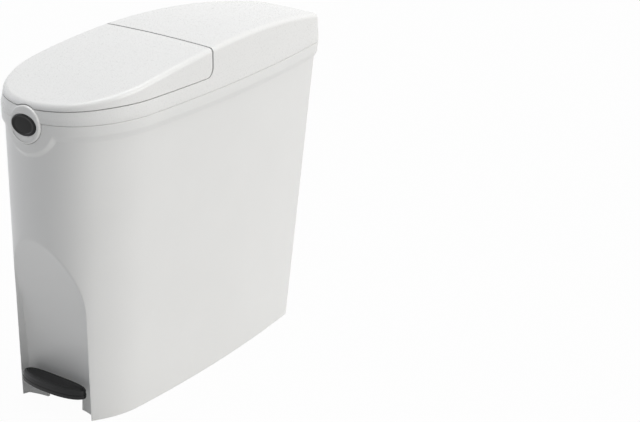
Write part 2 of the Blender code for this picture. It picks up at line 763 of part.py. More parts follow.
def rim_band(name, top):
    """The proud band round the rim and the disc round the lock, which taper back to the body below."""
    sink = BODY_WALL / 2
    sunk = 1 + sink / BAND_OUT
    low = RIM_HEIGHT - BAND_HEIGHT
    bm = bmesh.new()
    rings = []
    for outward, height, radius in ((-sink, low - BAND_TAPER * sunk, DISC_RADIUS + DISC_TAPER * sunk),
                                    (BAND_OUT, low, DISC_RADIUS), (BAND_OUT, top, 0)):
        points, rows = band_ring(outward, height, radius)
        rings.append([bm.verts.new(p) for p in points])
    for lower, upper in zip(rings, rings[1:]):
        for i in range(len(lower)):
            j = (i + 1) % len(lower)
            bm.faces.new((lower[i], lower[j], upper[j], upper[i]))
    cap(bm, rings[0], rows, 1, None)
    cap(bm, rings[-1], rows, 1, None)
    band = smooth(add_object(name, mesh_from(name, bm)), 30)
    return cut(band, box("band_rear_room", (-RIM_WIDTH, REAR_AXIS_Y - 2 * FIT, low - 2 * OVERRUN),
                         (RIM_WIDTH, REAR_Y + 2 * OVERRUN, RIM_HEIGHT + OVERRUN)))


def boss_room(name):
    """The slot, round at its foot and open at the rim, that the lock's boss is let into."""
    half = BOSS_RADIUS + NECK_CLEARANCE
    outline = arc((0, BUTTON_Z), half, math.pi, math.tau, ROUND_STEPS)
    outline += [(half, RIM_HEIGHT + OVERRUN), (-half, RIM_HEIGHT + OVERRUN)]
    return plate(name, outline, "Y", FRONT_Y - OVERRUN, FRONT_Y + BOSS_RADIUS)


def make_body():
    """The outer body: a tapered shell with a raised floor, a rim band, a neck and tongue, and a scoop."""
    body = upright("outer_body", 0, 0, LEDGE_HEIGHT, white("outer_body"))
    rim = RIM_HEIGHT - SEAT
    tongue = loft("body_tongue", [(RIM_HEIGHT, LIP_OUT, flat(rim - OVERRUN)),
                                  (RIM_HEIGHT, LIP_OUT, flat(RIM_HEIGHT + TONGUE_HEIGHT))])
    neck_low = BUTTON_Z - BOSS_RADIUS - OVERRUN
    neck = loft("body_neck", [(neck_low, -NECK_DEPTH, flat(neck_low)),
                              (RIM_HEIGHT, -NECK_DEPTH, flat(rim - EDGE / 6))])
    cut(join(body, rim_band("rim_band", rim), tongue), cut(boss_room("boss_room"), neck))
    inner_scoop = scoop("scoop_inner_wall", BODY_WALL)
    cavity = loft("body_cavity", [(FLOOR_TOP, -BODY_WALL, flat(FLOOR_TOP)),
                                  (RIM_HEIGHT, -BODY_WALL, flat(RIM_HEIGHT)),
                                  (RIM_HEIGHT, -BODY_WALL, flat(RIM_HEIGHT + OVERRUN))])
    plinth = loft("plinth_cavity", [(0, -BODY_WALL, flat(-OVERRUN)), (0, -BODY_WALL, flat(0)),
                                    (FLOOR_UNDERSIDE, -BODY_WALL, flat(FLOOR_UNDERSIDE))])
    notch = box("pedal_notch", (-NOTCH_HALF_WIDTH, SCOOP_FLOOR_Y - OVERRUN, -OVERRUN),
                (NOTCH_HALF_WIDTH, SCOOP_FLOOR_Y + BODY_WALL + OVERRUN, NOTCH_HEIGHT))
    cut(body, cut(cavity, inner_scoop), cut(plinth, inner_scoop), notch, scoop("scoop_recess"))
    add_pivot_lugs(body)
    add_rod_seats(body)
    add_latch_seat(body)
    add_body_knuckles(body)
    return body


def add_pivot_lugs(body):
    """Two lugs under the floor that hold the pedal's pivot pin."""
    inner = BARREL_HALF_LENGTH + FIT
    outline = lug_outline(PIVOT_Y, PIVOT_Z, LUG_HALF_LENGTH, FLOOR_UNDERSIDE + FLOOR_THICKNESS / 2)
    for side, low in (("left", -inner - LUG_THICKNESS), ("right", inner)):
        join(body, plate(f"pivot_lug_{side}", outline, "X", low, low + LUG_THICKNESS))
    cut(body, cross_rod("pivot_bore", PIVOT_RADIUS + FIT, 0, PIVOT_Y, PIVOT_Z, inner + 2 * LUG_THICKNESS))


def add_rod_seats(body):
    """The push rod's hole in the floor, and the pads inside the right wall for its two guides."""
    cut(body, rod("rod_floor_hole", ROD_RADIUS + ROD_HOLE_CLEARANCE, (ROD_X, ROD_Y, FLOOR_UNDERSIDE - OVERRUN),
                  (ROD_X, ROD_Y, FLOOR_TOP + OVERRUN)))
    for name, z in (("lower", LOWER_GUIDE_Z), ("upper", UPPER_GUIDE_Z)):
        wall_x = half_width_at(ROD_Y, z, -BODY_WALL / 2)
        join(body, box(f"guide_pad_{name}", (GUIDE_FACE_X, ROD_Y - GUIDE_FLANGE_HALF_LENGTH, z - GUIDE_HALF_HEIGHT),
                       (wall_x, ROD_Y + GUIDE_FLANGE_HALF_LENGTH, z + GUIDE_HALF_HEIGHT)))
        for side, seat in guide_screw_seats(z):
            cut(body, bolt_hole(f"guide_pad_hole_{name}_{side}", seat, (1, 0, 0)))


def add_latch_seat(body):
    """The opening behind the lock button, and the shelf below it that the latch hooks under."""
    clear_x = HOUSING_HALF_WIDTH + NECK_CLEARANCE
    clear_z = HOUSING_HALF_HEIGHT + NECK_CLEARANCE
    back = FRONT_Y + HOUSING_HALF_WIDTH
    steps = ROUND_STEPS // 2 + 1
    turns = [math.pi + math.pi * i / steps for i in range(steps + 1)]
    outline = [(clear_x * math.cos(t), BUTTON_Z + clear_z * math.sin(t)) for t in turns]
    outline += [(clear_x, RIM_HEIGHT + OVERRUN), (-clear_x, RIM_HEIGHT + OVERRUN)]
    cut(body, plate("lock_opening", outline, "Y", FRONT_Y - OVERRUN, back))
    wall_y = front_at(KEEPER_TOP, -BODY_WALL)
    join(body, box("keeper_shelf", (-KEEPER_HALF_WIDTH, wall_y - BODY_WALL / 2, KEEPER_TOP - KEEPER_THICKNESS),
                   (KEEPER_HALF_WIDTH, wall_y + KEEPER_DEPTH, KEEPER_TOP)))


def add_body_knuckles(body):
    """Knuckles at the back of the rim, each on a foot, with room between them for the frame's."""
    wall_y = rear_at(RIM_HEIGHT, LIP_OUT)
    for name, x in body_knuckle_places():
        half = KNUCKLE_LENGTH / 2
        join(body, cross_rod(f"body_knuckle_{name}", KNUCKLE_RADIUS, x, REAR_AXIS_Y, RIM_HEIGHT, half))
        join(body, box(f"knuckle_foot_{name}", (x - half + EDGE, wall_y, RIM_HEIGHT - KNUCKLE_RADIUS - KNUCKLE_FOOT),
                       (x + half - EDGE, REAR_AXIS_Y, RIM_HEIGHT - KNUCKLE_RADIUS / 2)))
    for side, x in (("left", -KNUCKLE_X), ("right", KNUCKLE_X)):
        cut(body, cross_rod(f"frame_knuckle_room_{side}", KNUCKLE_RADIUS + SWING_GAP, x, REAR_AXIS_Y, RIM_HEIGHT,
                            MIDDLE_KNUCKLE_LENGTH / 2 + FIT),
            cross_rod(f"body_pin_bore_{side}", REAR_PIN_RADIUS + FIT, x, REAR_AXIS_Y, RIM_HEIGHT,
                      MIDDLE_KNUCKLE_LENGTH + KNUCKLE_LENGTH))


LEVER_FRAME = Matrix.Translation((0, PIVOT_Y, PIVOT_Z)) @ Matrix.Rotation(-SLOPE, 4, "X")


def on_lever(piece):
    """Places a piece modelled flat about the pivot at the lever's resting slope."""
    piece.matrix_basis = LEVER_FRAME @ piece.matrix_basis
    return piece


def lever_front():
    """The lever's front end along its slope, inside the pad's nose."""
    return -(PIVOT_Y - PEDAL_FRONT_Y - LEVER_SETBACK) / math.cos(SLOPE)


def pad_screw_ys():
    """Places of the pad's two screws along the lever."""
    first = lever_front() + 2 * SCREW_HEAD_RADIUS
    return (first, first + PAD_SCREW_SPACING)


def make_lever():
    """The lever: a bar through the pivot barrel, with a cross arm that reaches under the push rod."""
    front = lever_front()
    low, high = ROD_REACH - LEVER_ARM_WIDTH / 2, ROD_REACH + LEVER_ARM_WIDTH / 2
    end_x = ROD_X + LEVER_END_MARGIN
    outline = [(-LEVER_HALF_WIDTH, front), (LEVER_HALF_WIDTH, front), (LEVER_HALF_WIDTH, low - LEVER_HALF_WIDTH),
               (2 * LEVER_HALF_WIDTH, low), (end_x, low), (end_x, high), (-LEVER_HALF_WIDTH, high)]
    half = LEVER_THICKNESS / 2
    lever = on_lever(plate("pedal_lever", outline, "Z", -half, half, steel("pedal_lever")))
    join(lever, on_lever(cross_rod("lever_barrel", BARREL_RADIUS, 0, 0, 0, BARREL_HALF_LENGTH)))
    cut(lever, on_lever(cross_rod("lever_bore", PIVOT_RADIUS + FIT, 0, 0, 0, 2 * BARREL_HALF_LENGTH)))
    for i, y in enumerate(pad_screw_ys()):
        cut(lever, on_lever(bolt_hole(f"lever_hole_{i}", (0, y, -half), (0, 0, 1))))
    return lever


def pedal_outline(inset=0.0):
    """The pad's plan: a bowed front, blunt rounded tips, and a rear edge that curls forward."""
    half = PEDAL_WIDTH / 2 - inset
    steps = 3 * ROUND_STEPS // 4
    shares = [math.sin(math.pi / 2 * (2 * i / steps - 1)) for i in range(steps + 1)]
    front, rear = [], []
    for share in shares:
        reach = min(1.0, abs(share))
        front_y = PEDAL_FRONT_Y + inset + PEDAL_FRONT_BOW * reach ** PEDAL_FRONT_POWER
        rear_y = PEDAL_REAR_Y - inset - PEDAL_REAR_BOW * reach ** PEDAL_REAR_POWER
        middle = (front_y + rear_y) / 2
        depth = (rear_y - front_y) / 2 * (1 - reach ** PEDAL_TIP_POWER) ** PEDAL_TIP_ROUND
        front.append((half * share, middle - depth))
        rear.append((half * share, middle + depth))
    return front + rear[-2:0:-1]


def make_pedal_pad():
    """The black foot pad, which sits over the lever's end."""
    pad = plate("pedal_pad", pedal_outline(), "Z", PEDAL_TOP - PEDAL_THICKNESS, PEDAL_TOP - PEDAL_CROWN,
                black("pedal_pad"))
    join(pad, plate("pad_crown", pedal_outline(PEDAL_CROWN_INSET), "Z", PEDAL_TOP - PEDAL_CROWN - EDGE, PEDAL_TOP))
    front = lever_front() - FIT
    grown = LEVER_HALF_WIDTH + FIT
    cut(pad, on_lever(box("pad_channel", (-grown, front, -PEDAL_THICKNESS), (grown, 0, LEVER_THICKNESS / 2 + SEAT))))
    for i, y in enumerate(pad_screw_ys()):
        cut(pad, on_lever(bolt_hole(f"pad_hole_{i}", (0, y, -LEVER_THICKNESS / 2), (0, 0, 1))))
    return pad


def make_pedal():
    axis = axis_empty("pedal_axis", (0, PIVOT_Y, PIVOT_Z))
    hang(axis, make_lever(), make_pedal_pad())
    for i, y in enumerate(pad_screw_ys()):
        hang(axis, on_lever(bolt(f"pad_screw_{i + 1}", (0, y, -LEVER_THICKNESS / 2), (0, 0, 1))))


def make_pivot_pin():
    """The pivot pin with its head on the left, and the spring clip on its right end."""
    outer = BARREL_HALF_LENGTH + FIT + LUG_THICKNESS
    length = 2 * outer + SEAT + 2 * CLIP_THICKNESS + SEAT
    head = PIVOT_RADIUS + CLIP_THICKNESS
    profile = [(0, CLIP_THICKNESS), (head, CLIP_THICKNESS), (head, 0), (PIVOT_RADIUS, 0),
               (PIVOT_RADIUS, -length), (0, -length)]
    turned("pedal_pivot_pin", profile, (-outer - SEAT, PIVOT_Y, PIVOT_Z), (-1, 0, 0), steel("pedal_pivot_pin"),
           PIN_STEPS)
    washer("pivot_clip", PIVOT_RADIUS + FIT, CLIP_RADIUS, CLIP_THICKNESS, (outer + SEAT, PIVOT_Y, PIVOT_Z),
           (1, 0, 0), steel("pivot_clip"))


def guide_screw_seats(z):
    face = GUIDE_FACE_X - SEAT - GUIDE_FLANGE_THICKNESS
    return (("front", (face, ROD_Y - GUIDE_SCREW_OFFSET, z)), ("rear", (face, ROD_Y + GUIDE_SCREW_OFFSET, z)))


def make_guide(name, z):
    """A bored block round the push rod on a flange that is screwed to the wall's pad."""
    block_x = ROD_X - ROD_RADIUS - FIT - GUIDE_WALL
    face = GUIDE_FACE_X - SEAT
    guide = box(f"rod_guide_{name}", (block_x, ROD_Y - GUIDE_HALF_LENGTH, z - GUIDE_HALF_HEIGHT),
                (face, ROD_Y + GUIDE_HALF_LENGTH, z + GUIDE_HALF_HEIGHT), grey(f"rod_guide_{name}"))
    join(guide, box(f"guide_flange_{name}",
                    (face - GUIDE_FLANGE_THICKNESS, ROD_Y - GUIDE_FLANGE_HALF_LENGTH, z - GUIDE_HALF_HEIGHT + EDGE),
                    (face, ROD_Y + GUIDE_FLANGE_HALF_LENGTH, z + GUIDE_HALF_HEIGHT - EDGE)))
    cut(guide, rod(f"guide_bore_{name}", ROD_RADIUS + FIT, (ROD_X, ROD_Y, z - OVERRUN), (ROD_X, ROD_Y, z + OVERRUN)))
    for side, seat in guide_screw_seats(z):
        cut(guide, bolt_hole(f"guide_hole_{name}_{side}", seat, (1, 0, 0)))
        bolt(f"guide_screw_{name}_{side}", seat, (1, 0, 0))


def make_push_rod():
    """The push rod, its cap under the lid's peg, and the collar and spring that bring it down."""
    axis = axis_empty("push_rod_axis", (ROD_X, ROD_Y, ROD_FOOT_Z))
    push_rod = rod("push_rod", ROD_RADIUS, (ROD_X, ROD_Y, ROD_FOOT_Z), (ROD_X, ROD_Y, ROD_TOP), steel("push_rod"))
    cap_base = ROD_CAP_TOP - ROD_CAP_THICKNESS
    rod_cap = box("push_rod_cap", (ROD_X - ROD_CAP_WIDTH / 2, ROD_Y - ROD_CAP_LENGTH / 2, cap_base),
                  (ROD_X + ROD_CAP_WIDTH / 2, ROD_Y + ROD_CAP_LENGTH / 2, ROD_CAP_TOP), grey("push_rod_cap"))
    cut(rod_cap, rod("rod_cap_socket", ROD_RADIUS + FIT, (ROD_X, ROD_Y, cap_base - OVERRUN),
                     (ROD_X, ROD_Y, cap_base + ROD_SOCKET_DEPTH)))
    collar = washer("rod_collar", ROD_RADIUS + FIT, COLLAR_RADIUS, COLLAR_THICKNESS, (ROD_X, ROD_Y, COLLAR_Z),
                    (0, 0, 1), steel("rod_collar"))
    hang(axis, push_rod, rod_cap, collar)
    coil("rod_return_spring", ROD_SPRING_RADIUS, SPRING_WIRE, ROD_SPRING_TURNS,
         (ROD_X, ROD_Y, COLLAR_Z + COLLAR_THICKNESS + SEAT),
         (ROD_X, ROD_Y, LOWER_GUIDE_Z - GUIDE_HALF_HEIGHT - SEAT), steel("rod_return_spring"))


def channel(name, grow):
    """The room for the push rod and its guides, in the right wall of the bucket and its ring."""
    reach = RIM_WIDTH / 2 + OVERRUN
    return box(name, (CHANNEL_X - grow, ROD_Y - CHANNEL_HALF_LENGTH - grow, 0),
               (reach, ROD_Y + CHANNEL_HALF_LENGTH + grow, CROWN_HEIGHT))


def make_bucket():
    """The lift-out bucket, which follows the body, the scoop and the push rod's channel."""
    bucket = upright("inner_bucket", BUCKET_OUT, BUCKET_FLOOR_Z, BUCKET_TOP, grey("inner_bucket"))
    clear = BODY_WALL + BUCKET_CLEARANCE
    cut(bucket, scoop("bucket_scoop", clear), channel("bucket_channel", 0))
    void_low = BUCKET_FLOOR_Z + BUCKET_WALL
    void = loft("bucket_void", [(void_low, BUCKET_OUT - BUCKET_WALL, flat(void_low)),
                                (BUCKET_TOP, BUCKET_OUT - BUCKET_WALL, flat(BUCKET_TOP)),
                                (BUCKET_TOP, BUCKET_OUT - BUCKET_WALL, flat(BUCKET_TOP + OVERRUN))])
    cut(void, scoop("bucket_void_scoop", clear + BUCKET_WALL), channel("bucket_void_channel", BUCKET_WALL))
    return cut(bucket, void)


def make_bag_ring():
    """The ring that lies on the bucket's rim and traps the bag."""
    low = BUCKET_TOP + SEAT
    outside = BUCKET_OUT + RING_OVERHANG
    made = loft("bag_ring", [(BUCKET_TOP, outside, flat(low)), (BUCKET_TOP, outside, flat(low + RING_HEIGHT))],
                grey("bag_ring"))
    void = loft("ring_void", [(BUCKET_TOP, outside - RING_WIDTH, flat(low - OVERRUN)),
                              (BUCKET_TOP, outside - RING_WIDTH, flat(low + OVERRUN))])
    cut(void, channel("ring_void_channel", RING_WIDTH))
    return cut(made, channel("ring_channel", 0), void)


def seam_z(y):
    """Height of the seam under the lid, which dips towards the nose."""
    ahead = max(0.0, min(1.0, (FRONT_Y + SEAM_DIP_LENGTH - y) / SEAM_DIP_LENGTH))
    return SEAM_HEIGHT - SEAM_DIP * ahead * ahead


def lid_zone(name, gap, rear_gap):
    """The space above the seam and ahead of the lid's rear edge, as an outline of (y, z)."""
    rear = SEAM_Y - rear_gap
    radius = SEAM_CORNER_RADIUS - gap
    steps = ROUND_STEPS // 4
    start = FRONT_Y - 2 * OVERRUN
    ys = [start] + [FRONT_Y + SEAM_DIP_LENGTH * i / steps for i in range(steps + 1)]
    low = [(y, seam_z(y) + gap) for y in ys]
    corner = arc((rear - radius, SEAM_HEIGHT + gap + radius), radius, -math.pi / 2, 0, steps)
    top = CROWN_HEIGHT + OVERRUN
    return plate(name, low + corner + [(rear, top), (start, top)], "X", -RIM_WIDTH, RIM_WIDTH)


def boss_bump(name, gap):
    """The boss's rise into the lid's lower edge, blended into the seam on both sides."""
    seam = seam_z(BOSS_FRONT_Y) + gap
    radius = BOSS_RADIUS + EDGE / 6 + gap
    blend = BOSS_BLEND - gap
    rise = seam + blend - BUTTON_Z
    blend_x = math.sqrt((radius + blend) ** 2 - rise * rise)
    lean = math.atan2(rise, blend_x)
    steps = ROUND_STEPS // 4
    left = arc((-blend_x, seam + blend), blend, -math.pi / 2, -lean, steps)
    over = arc((0, BUTTON_Z), radius, math.pi - lean, lean, 2 * steps + 1)
    right = arc((blend_x, seam + blend), blend, math.pi + lean, 3 * math.pi / 2, steps)
    base = RIM_HEIGHT + SKIRT_HEIGHT
    outline = [(-blend_x, base)] + left + over[1:-1] + right + [(blend_x, base)]
    return plate(name, outline, "Y", FRONT_Y - 2 * OVERRUN, FRONT_Y + BOSS_RADIUS)


def make_top_frame():
    """The top unit's frame: the band, the lock's boss and housing, and the fixed rear cover."""
    frame = crown("top_frame", 0, white("top_frame"))
    boss = rod("lock_boss", BOSS_RADIUS, (0, BOSS_FRONT_Y, BUTTON_Z), (0, FRONT_Y + BOSS_RADIUS / 2, BUTTON_Z),
               steps=ROUND_STEPS * 2)
    neck_low = BUTTON_Z - BOSS_RADIUS - OVERRUN
    neck_out = NECK_CLEARANCE - NECK_DEPTH
    cut(boss, loft("boss_neck_room", [(neck_low, neck_out, flat(neck_low)),
                                      (RIM_HEIGHT, neck_out, flat(RIM_HEIGHT - EDGE / 6))]))
    join(frame, boss)
    add_frame_knuckles(frame)
    cut(frame, crown("frame_inside", TOP_WALL))
    add_latch_housing(frame)
    add_deck_lugs(frame)
    add_hinge_ears(frame)
    zone = lid_zone("lid_opening", 0, 0)
    return cut(frame, cut(zone, boss_bump("boss_in_lid_opening", 0)))


def add_frame_knuckles(frame):
    """The middle knuckle of each rear hinge, the room round the body's knuckles, and the pin's bore."""
    half = MIDDLE_KNUCKLE_LENGTH / 2
    wall_y = REAR_Y + SKIRT_OVERHANG - TOP_WALL / 2
    for side, x in (("left", -KNUCKLE_X), ("right", KNUCKLE_X)):
        join(frame, cross_rod(f"frame_knuckle_{side}", KNUCKLE_RADIUS, x, REAR_AXIS_Y, RIM_HEIGHT, half),
             box(f"frame_knuckle_root_{side}", (x - half + EDGE, REAR_AXIS_Y, RIM_HEIGHT + KNUCKLE_RADIUS / 3),
                 (x + half - EDGE, wall_y, RIM_HEIGHT + 2 * KNUCKLE_RADIUS)))
    for name, x in body_knuckle_places():
        cut(frame, cross_rod(f"body_knuckle_room_{name}", KNUCKLE_RADIUS + SWING_GAP, x, REAR_AXIS_Y, RIM_HEIGHT,
                             KNUCKLE_LENGTH / 2 + FIT))
    for side, x in (("left", -KNUCKLE_X), ("right", KNUCKLE_X)):
        cut(frame, cross_rod(f"frame_pin_bore_{side}", REAR_PIN_RADIUS + FIT, x, REAR_AXIS_Y, RIM_HEIGHT,
                             MIDDLE_KNUCKLE_LENGTH + KNUCKLE_LENGTH))


def latch_screw_seats():
    y = HOUSING_BACK_Y + SEAT + COVER_THICKNESS
    return (("left", (-HOUSING_SCREW_X, y, BUTTON_Z)), ("right", (HOUSING_SCREW_X, y, BUTTON_Z)))


def add_latch_housing(frame):
    """An oval tube behind the button, open at the back, with a screw boss on each side."""
    centre = (0, BUTTON_Z)
    embed = BOSS_FRONT_Y + HOUSING_WALL
    join(frame, plate("latch_housing", oval(HOUSING_HALF_WIDTH, HOUSING_HALF_HEIGHT, centre), "Y", embed,
                      HOUSING_BACK_Y))
    boss_front = HOUSING_BACK_Y - SCREW_LENGTH - HOUSING_WALL
    for side, (x, y, z) in latch_screw_seats():
        join(frame, rod(f"latch_boss_{side}", SCREW_HEAD_RADIUS + EDGE, (x, boss_front, z), (x, HOUSING_BACK_Y, z)))
        cut(frame, bolt_hole(f"latch_boss_hole_{side}", (x, y, z), (0, -1, 0)))
    slot = HOOK_HALF_WIDTH + EDGE
    cut(frame, plate("button_hole", oval(HOLE_HALF_WIDTH, HOLE_HALF_HEIGHT, centre), "Y",
                     BOSS_FRONT_Y - OVERRUN, HOUSING_BACK_Y + OVERRUN),
        box("hook_slot", (-slot, hook_front_y() - EDGE, BUTTON_Z - 2 * HOUSING_HALF_HEIGHT),
            (slot, HOUSING_BACK_Y + OVERRUN, BUTTON_Z - HOLE_HALF_HEIGHT / 2)))


def deck_lug_places():
    """Middle (x, y) of each lug that carries the deck."""
    places = []
    for place, y in (("front", DECK_FRONT_LUG_Y), ("rear", DECK_REAR_LUG_Y)):
        x = half_width_at(y, RIM_HEIGHT, SKIRT_INSIDE) - DECK_LUG_LENGTH / 2
        places += [(f"{place}_left", -x, y), (f"{place}_right", x, y)]
    return places


def add_deck_lugs(frame):
    top = DECK_Z - SEAT
    for name, x, y in deck_lug_places():
        root = half_width_at(y, RIM_HEIGHT, DECK_LUG_ROOT)
        tip = abs(x) - DECK_LUG_LENGTH / 2
        low, high = (tip, root) if x > 0 else (-root, -tip)
        join(frame, box(f"deck_lug_{name}", (low, y - DECK_LUG_WIDTH / 2, top - DECK_LUG_THICKNESS),
                        (high, y + DECK_LUG_WIDTH / 2, top)))
        cut(frame, bolt_hole(f"deck_lug_hole_{name}", (x, y, DECK_TOP), (0, 0, -1)))


def ear_x():
    """Middle x of the frame's ears, just outside the lid's arms and past the peg."""
    return ARM_X + ARM_THICKNESS + 2 * FIT


def add_hinge_ears(frame):
    """Ears under the rear cover that hold the lid's hinge rod, one outside each arm."""
    outline = lug_outline(HINGE_Y, HINGE_Z, EAR_HALF_LENGTH, HINGE_Z + HINGE_DEPTH - TOP_WALL / 2)
    half = EAR_THICKNESS / 2
    for side, x in (("left", -ear_x()), ("right", ear_x())):
        join(frame, plate(f"hinge_ear_{side}", outline, "X", x - half, x + half))
    cut(frame, cross_rod("ear_bore", HINGE_ROD_RADIUS + FIT, 0, HINGE_Y, HINGE_Z, ear_x() + EAR_THICKNESS))


def arm_outline(half_width):
    """A gooseneck from the hinge's eye down, forward past the cover's edge, and up into the lid."""
    low = HINGE_Z - PEG_DROP - half_width
    high = HINGE_Z - PEG_DROP + half_width
    far = HINGE_Y - ARM_REACH
    lid_z = crown_z(ARM_X, far) - TOP_WALL / 2
    return [(far - half_width, lid_z), (far - half_width, low + half_width), (far, low),
            (HINGE_Y - half_width, low), (HINGE_Y + EYE_RADIUS, HINGE_Z - EYE_RADIUS / 3),
            (HINGE_Y - EYE_RADIUS, HINGE_Z - EYE_RADIUS / 3), (HINGE_Y - ARM_THROAT, high),
            (far + half_width, high), (far + half_width, lid_z)]


def make_lid():
    """The lid: the front of the crown, with two arms to the hinge rod and the peg that lifts it."""
    lid = crown("lid", 0, white("lid"))
    cut(lid, crown("lid_inside", TOP_WALL))
    combine(lid, lid_zone("lid_space", SEAM_GAP, SEAM_REAR_GAP), "INTERSECT")
    half = ARM_THICKNESS / 2
    for side, x in (("left", -ARM_X), ("right", ARM_X)):
        join(lid, plate(f"lid_arm_{side}", arm_outline(ARM_WIDTH / 2), "X", x - half, x + half),
             cross_rod(f"lid_eye_{side}", EYE_RADIUS, x, HINGE_Y, HINGE_Z, half - EDGE / 6))
    join(lid, rod("lift_peg", PEG_RADIUS, (ARM_X, PEG_Y, PEG_Z), (ROD_X + ROD_CAP_WIDTH / 2 + EDGE, PEG_Y, PEG_Z)))
    return cut(lid, boss_bump("boss_room", SEAM_GAP),
               cross_rod("eye_bore", HINGE_ROD_RADIUS + FIT, 0, HINGE_Y, HINGE_Z, ARM_X + ARM_THICKNESS))


def make_deck():
    """The inner deck under the lid, with the drop opening and the flap's lugs."""
    outward = SKIRT_INSIDE - DECK_EDGE_GAP
    deck = loft("inner_deck", [(RIM_HEIGHT, outward, flat(DECK_Z)), (RIM_HEIGHT, outward, flat(DECK_TOP))],
                white("inner_deck"))
    inner = FLAP_BARREL_HALF_LENGTH + FIT
    outline = lug_outline(FLAP_AXIS_Y, FLAP_AXIS_Z, FLAP_LUG_HALF_LENGTH, DECK_Z + DECK_THICKNESS / 2)
    for side, low in (("left", -inner - FLAP_LUG_THICKNESS), ("right", inner)):
        join(deck, plate(f"flap_lug_{side}", outline, "X", low, low + FLAP_LUG_THICKNESS))
    cut(deck, plate("drop_opening", rounded_rectangle((-DROP_HALF_WIDTH, DROP_FRONT_Y),
                                                      (DROP_HALF_WIDTH, DROP_REAR_Y), DROP_CORNER_RADIUS), "Z",
                    DECK_Z - OVERRUN, DECK_TOP + OVERRUN),
        cross_rod("flap_pin_bore", FLAP_PIN_RADIUS + FIT, 0, FLAP_AXIS_Y, FLAP_AXIS_Z,
                  inner + 2 * FLAP_LUG_THICKNESS))
    slot = (ROD_CAP_WIDTH / 2 + DECK_SLOT_CLEARANCE, ROD_CAP_LENGTH / 2 + DECK_SLOT_CLEARANCE)
    cut(deck, box("rod_slot", (ROD_X - slot[0], ROD_Y - slot[1], DECK_Z - OVERRUN),
                  (ROD_X + slot[0], ROD_Y + slot[1], DECK_TOP + OVERRUN)))
    for name, x, y in deck_lug_places():
        cut(deck, bolt_hole(f"deck_hole_{name}", (x, y, DECK_TOP), (0, 0, -1)))
    for side, x in (("left", -BUFFER_X), ("right", BUFFER_X)):
        cut(deck, rod(f"buffer_hole_{side}", BUFFER_STEM_RADIUS + FIT, (x, BUFFER_Y, DECK_Z - OVERRUN),
                      (x, BUFFER_Y, DECK_TOP + OVERRUN)))
    return deck


def make_buffer(side, x):
    """A rubber stud in the deck that takes the lid as it closes."""
    height = crown_z(x, BUFFER_Y) - TOP_WALL - BUFFER_GAP - DECK_TOP - SEAT
    stem = -DECK_THICKNESS - 2 * EDGE
    profile = [(0, height), (BUFFER_RADIUS - EDGE, height), (BUFFER_RADIUS, height - EDGE), (BUFFER_RADIUS, 0),
               (BUFFER_STEM_RADIUS, 0), (BUFFER_STEM_RADIUS, stem), (0, stem)]
    return turned(f"lid_buffer_{side}", profile, (x, BUFFER_Y, DECK_TOP + SEAT), (0, 0, 1),
                  black(f"lid_buffer_{side}"), PIN_STEPS)


def make_flap():
    """The privacy flap under the drop opening, on two barrels with the spring's gap between them."""
    top = DECK_Z - FLAP_GAP
    half = DROP_HALF_WIDTH + FLAP_MARGIN
    step_y = DROP_REAR_Y - EDGE
    flap = plate("privacy_flap", rounded_rectangle((-half, DROP_FRONT_Y - FLAP_MARGIN), (half, step_y),
                                                   DROP_CORNER_RADIUS), "Z", top - FLAP_THICKNESS, top,
                 white("privacy_flap"))
    reach = FLAP_BARREL_HALF_LENGTH - FIT
    join(flap, box("flap_neck", (-reach, step_y - FLAP_NECK_LENGTH, top - FLAP_THICKNESS - EDGE),
                   (reach, FLAP_AXIS_Y, top - EDGE)),
         cross_rod("flap_barrel", FLAP_BARREL_RADIUS, 0, FLAP_AXIS_Y, FLAP_AXIS_Z, FLAP_BARREL_HALF_LENGTH))
    gap = FLAP_SPRING_HALF_LENGTH + 2 * FIT
    return cut(flap, cross_rod("flap_bore", FLAP_PIN_RADIUS + FIT, 0, FLAP_AXIS_Y, FLAP_AXIS_Z, RIM_WIDTH / 2),
               box("flap_spring_room", (-gap, FLAP_AXIS_Y - 2 * FLAP_BARREL_RADIUS, FLAP_AXIS_Z - OVERRUN),
                   (gap, FLAP_AXIS_Y + OVERRUN, DECK_Z)))


def make_latch_slider():
    """The latch: a cup behind the button that holds the spring, and a hook down to the keeper."""
    front = BUTTON_BACK_Y + SEAT
    back = hook_front_y() + HOOK_THICKNESS + SLIDER_WALL
    slider = rod("latch_slider", SLIDER_RADIUS, (0, front, BUTTON_Z), (0, back, BUTTON_Z), grey("latch_slider"),
                 ROUND_STEPS // 2)
    tip = KEEPER_TOP - KEEPER_THICKNESS - SEAT - HOOK_TOE_HEIGHT
    y = hook_front_y()
    join(slider, box("hook_arm", (-HOOK_HALF_WIDTH, y, tip), (HOOK_HALF_WIDTH, y + HOOK_THICKNESS, BUTTON_Z)),
         box("hook_toe", (-HOOK_HALF_WIDTH + EDGE, y - HOOK_TOE, tip + EDGE),
             (HOOK_HALF_WIDTH - EDGE, y + HOOK_THICKNESS / 2, tip + HOOK_TOE_HEIGHT)))
    return cut(slider, rod("spring_bore", BUTTON_SPRING_RADIUS + FINE_WIRE / 2 + FIT,
                           (0, front + SLIDER_WALL, BUTTON_Z), (0, back + OVERRUN, BUTTON_Z)))


def hook_front_y():
    """Front face of the hook's arm: behind the keeper's edge by the toe and its clearance."""
    return front_at(KEEPER_TOP, -BODY_WALL) + KEEPER_DEPTH + HOOK_CLEARANCE + HOOK_TOE


